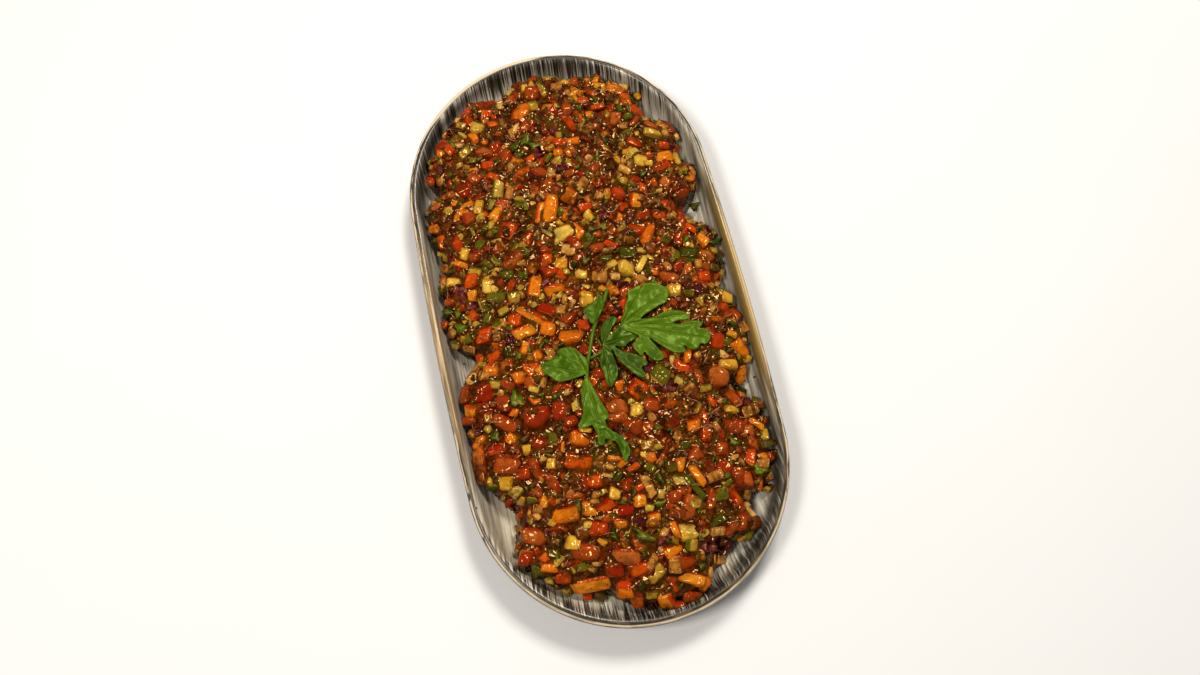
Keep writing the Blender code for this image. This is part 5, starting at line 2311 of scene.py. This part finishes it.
    def stalk(self, route: Plan, radius: float, sink: float) -> Item:
        """Model a stalk as a round bar along its route.

        Args:
            route: Plan points along it, in millimetres.
            radius: Its radius.
            sink: How far below the stem's level it lies.

        Returns:
            The stalk.
        """
        x, y = (np.array(part) * MM for part in zip(*route))
        height = self.resting(x, y) + self.stem_lift + self.stem_radius - sink
        curve = bpy.data.curves.new("stalk", "CURVE")
        curve.dimensions = "3D"
        curve.bevel_depth = radius
        curve.bevel_resolution = 3
        curve.use_fill_caps = True
        spline = curve.splines.new("NURBS")
        spline.points.add(len(route) - 1)
        for point, place_x, place_y, place_z in zip(spline.points, x, y, height):
            point.co = (place_x, place_y, place_z, 1)
        spline.order_u = 3
        spline.use_endpoint_u = True
        spline.resolution_u = 6
        item = bpy.data.objects.new("stalk", curve)
        bpy.context.scene.collection.objects.link(item)
        choose(item)
        bpy.ops.object.convert(target="MESH")
        item = active()
        edit(lambda: bpy.ops.mesh.remove_doubles(threshold=self.weld))
        count = len(item.data.vertices)
        keep_value(item, "vein", np.full(count, 0.75))
        keep_value(item, "tint", np.full(count, 0.45))
        item.data.shade_smooth()
        return item

    def build(self) -> None:
        """Model the leaflets and the stalks, and dress them as two pieces."""
        finish = LeafFinish().make()
        leaves = [self.leaf(leaf, layer) for layer, leaf in enumerate(LEAFLETS)]
        bars = [
            self.stalk(self.stem, self.stem_radius, 0.0),
            self.stalk(self.petiole, self.petiole_radius, self.petiole_sink),
        ]
        for group, name in ((leaves, "parsley_leaves"), (bars, "parsley_stem")):
            choose(*group)
            bpy.ops.object.join()
            finish_piece(active(), name, "parsley", finish)


# ---- studio


@dataclass(frozen=True)
class SoftLight:
    """A square soft light that faces the dish."""

    name: str
    place: tuple[float, float, float]
    size: float
    power: float


@dataclass
class Studio:
    """Camera at the photograph's angle, a pale floor and plain soft light."""

    view: Viewpoint
    floor_size: float = 6.0
    room_light: float = 0.2
    warmth: tuple[float, float, float] = (1.0, 0.95, 0.87)
    lights: tuple[SoftLight, ...] = (
        SoftLight("key", (0.34, 0.5, 1.08), 0.28, 9.6),
        SoftLight("side", (-0.5, -0.1, 1.08), 0.24, 6.2),
    )

    def camera(self) -> None:
        """Place the camera."""
        data = bpy.data.cameras.new("camera")
        data.lens = self.view.lens
        data.sensor_width = self.view.sensor
        data.clip_start = 0.01
        item = bpy.data.objects.new("camera", data)
        bpy.context.scene.collection.objects.link(item)
        item.location = self.view.place
        item.rotation_euler = self.view.turn
        bpy.context.scene.camera = item

    def hang(self, light: SoftLight) -> None:
        """Hang a light.

        Args:
            light: The light.
        """
        data = bpy.data.lights.new(light.name, "AREA")
        data.size = light.size
        data.energy = light.power
        data.color = self.warmth
        item = bpy.data.objects.new(light.name, data)
        item.location = light.place
        item.rotation_euler = (-Vector(light.place)).to_track_quat("-Z", "Y").to_euler()
        bpy.context.scene.collection.objects.link(item)

    def floor(self) -> None:
        """Lay the pale floor."""
        choose()
        bpy.ops.mesh.primitive_plane_add(size=self.floor_size)
        floor = active()
        floor.name = "floor"
        white, other = paint(250, 250, 250), paint(252, 252, 252)
        finish = PlainFinish("pale_floor", white, other, patch=0.3, roughness=0.8, coat=0.0)
        floor.data.materials.append(finish.make())

    def world(self) -> None:
        """Fill the room with even white light."""
        world = bpy.data.worlds.new("room")
        world.use_nodes = True
        background = world.node_tree.nodes["Background"]
        background.inputs["Color"].default_value = (1, 1, 1, 1)
        background.inputs["Strength"].default_value = self.room_light
        bpy.context.scene.world = world

    def build(self) -> None:
        """Set up the stage."""
        self.camera()
        self.floor()
        self.world()
        for light in self.lights:
            self.hang(light)
        bpy.context.scene.view_settings.view_transform = "Standard"


def main() -> None:
    """Build the dish, its salad and the parsley, and light them."""
    logging.basicConfig(level=logging.INFO, format="%(message)s")
    view = Viewpoint()
    Studio(view).build()
    heap = Heap()
    Dish().build()
    ground = Ground(heap, tree_of(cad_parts["parsley_sprig"]))
    chopper = Chopper(ground, INGREDIENTS)
    for kind in INGREDIENTS:
        seen = [Seen(*row) for row in PIECES_SEEN[kind.name]]
        chopper.place_seen(kind, seen, heap, view)
    chopper.scatter(INGREDIENTS)
    Fibres(chopper).build()
    for kind in INGREDIENTS:
        chopper.join(kind)
    SaladCore(heap).build(chopper)
    Sprig(view, heap).build()


if __name__ == "__main__":
    main()
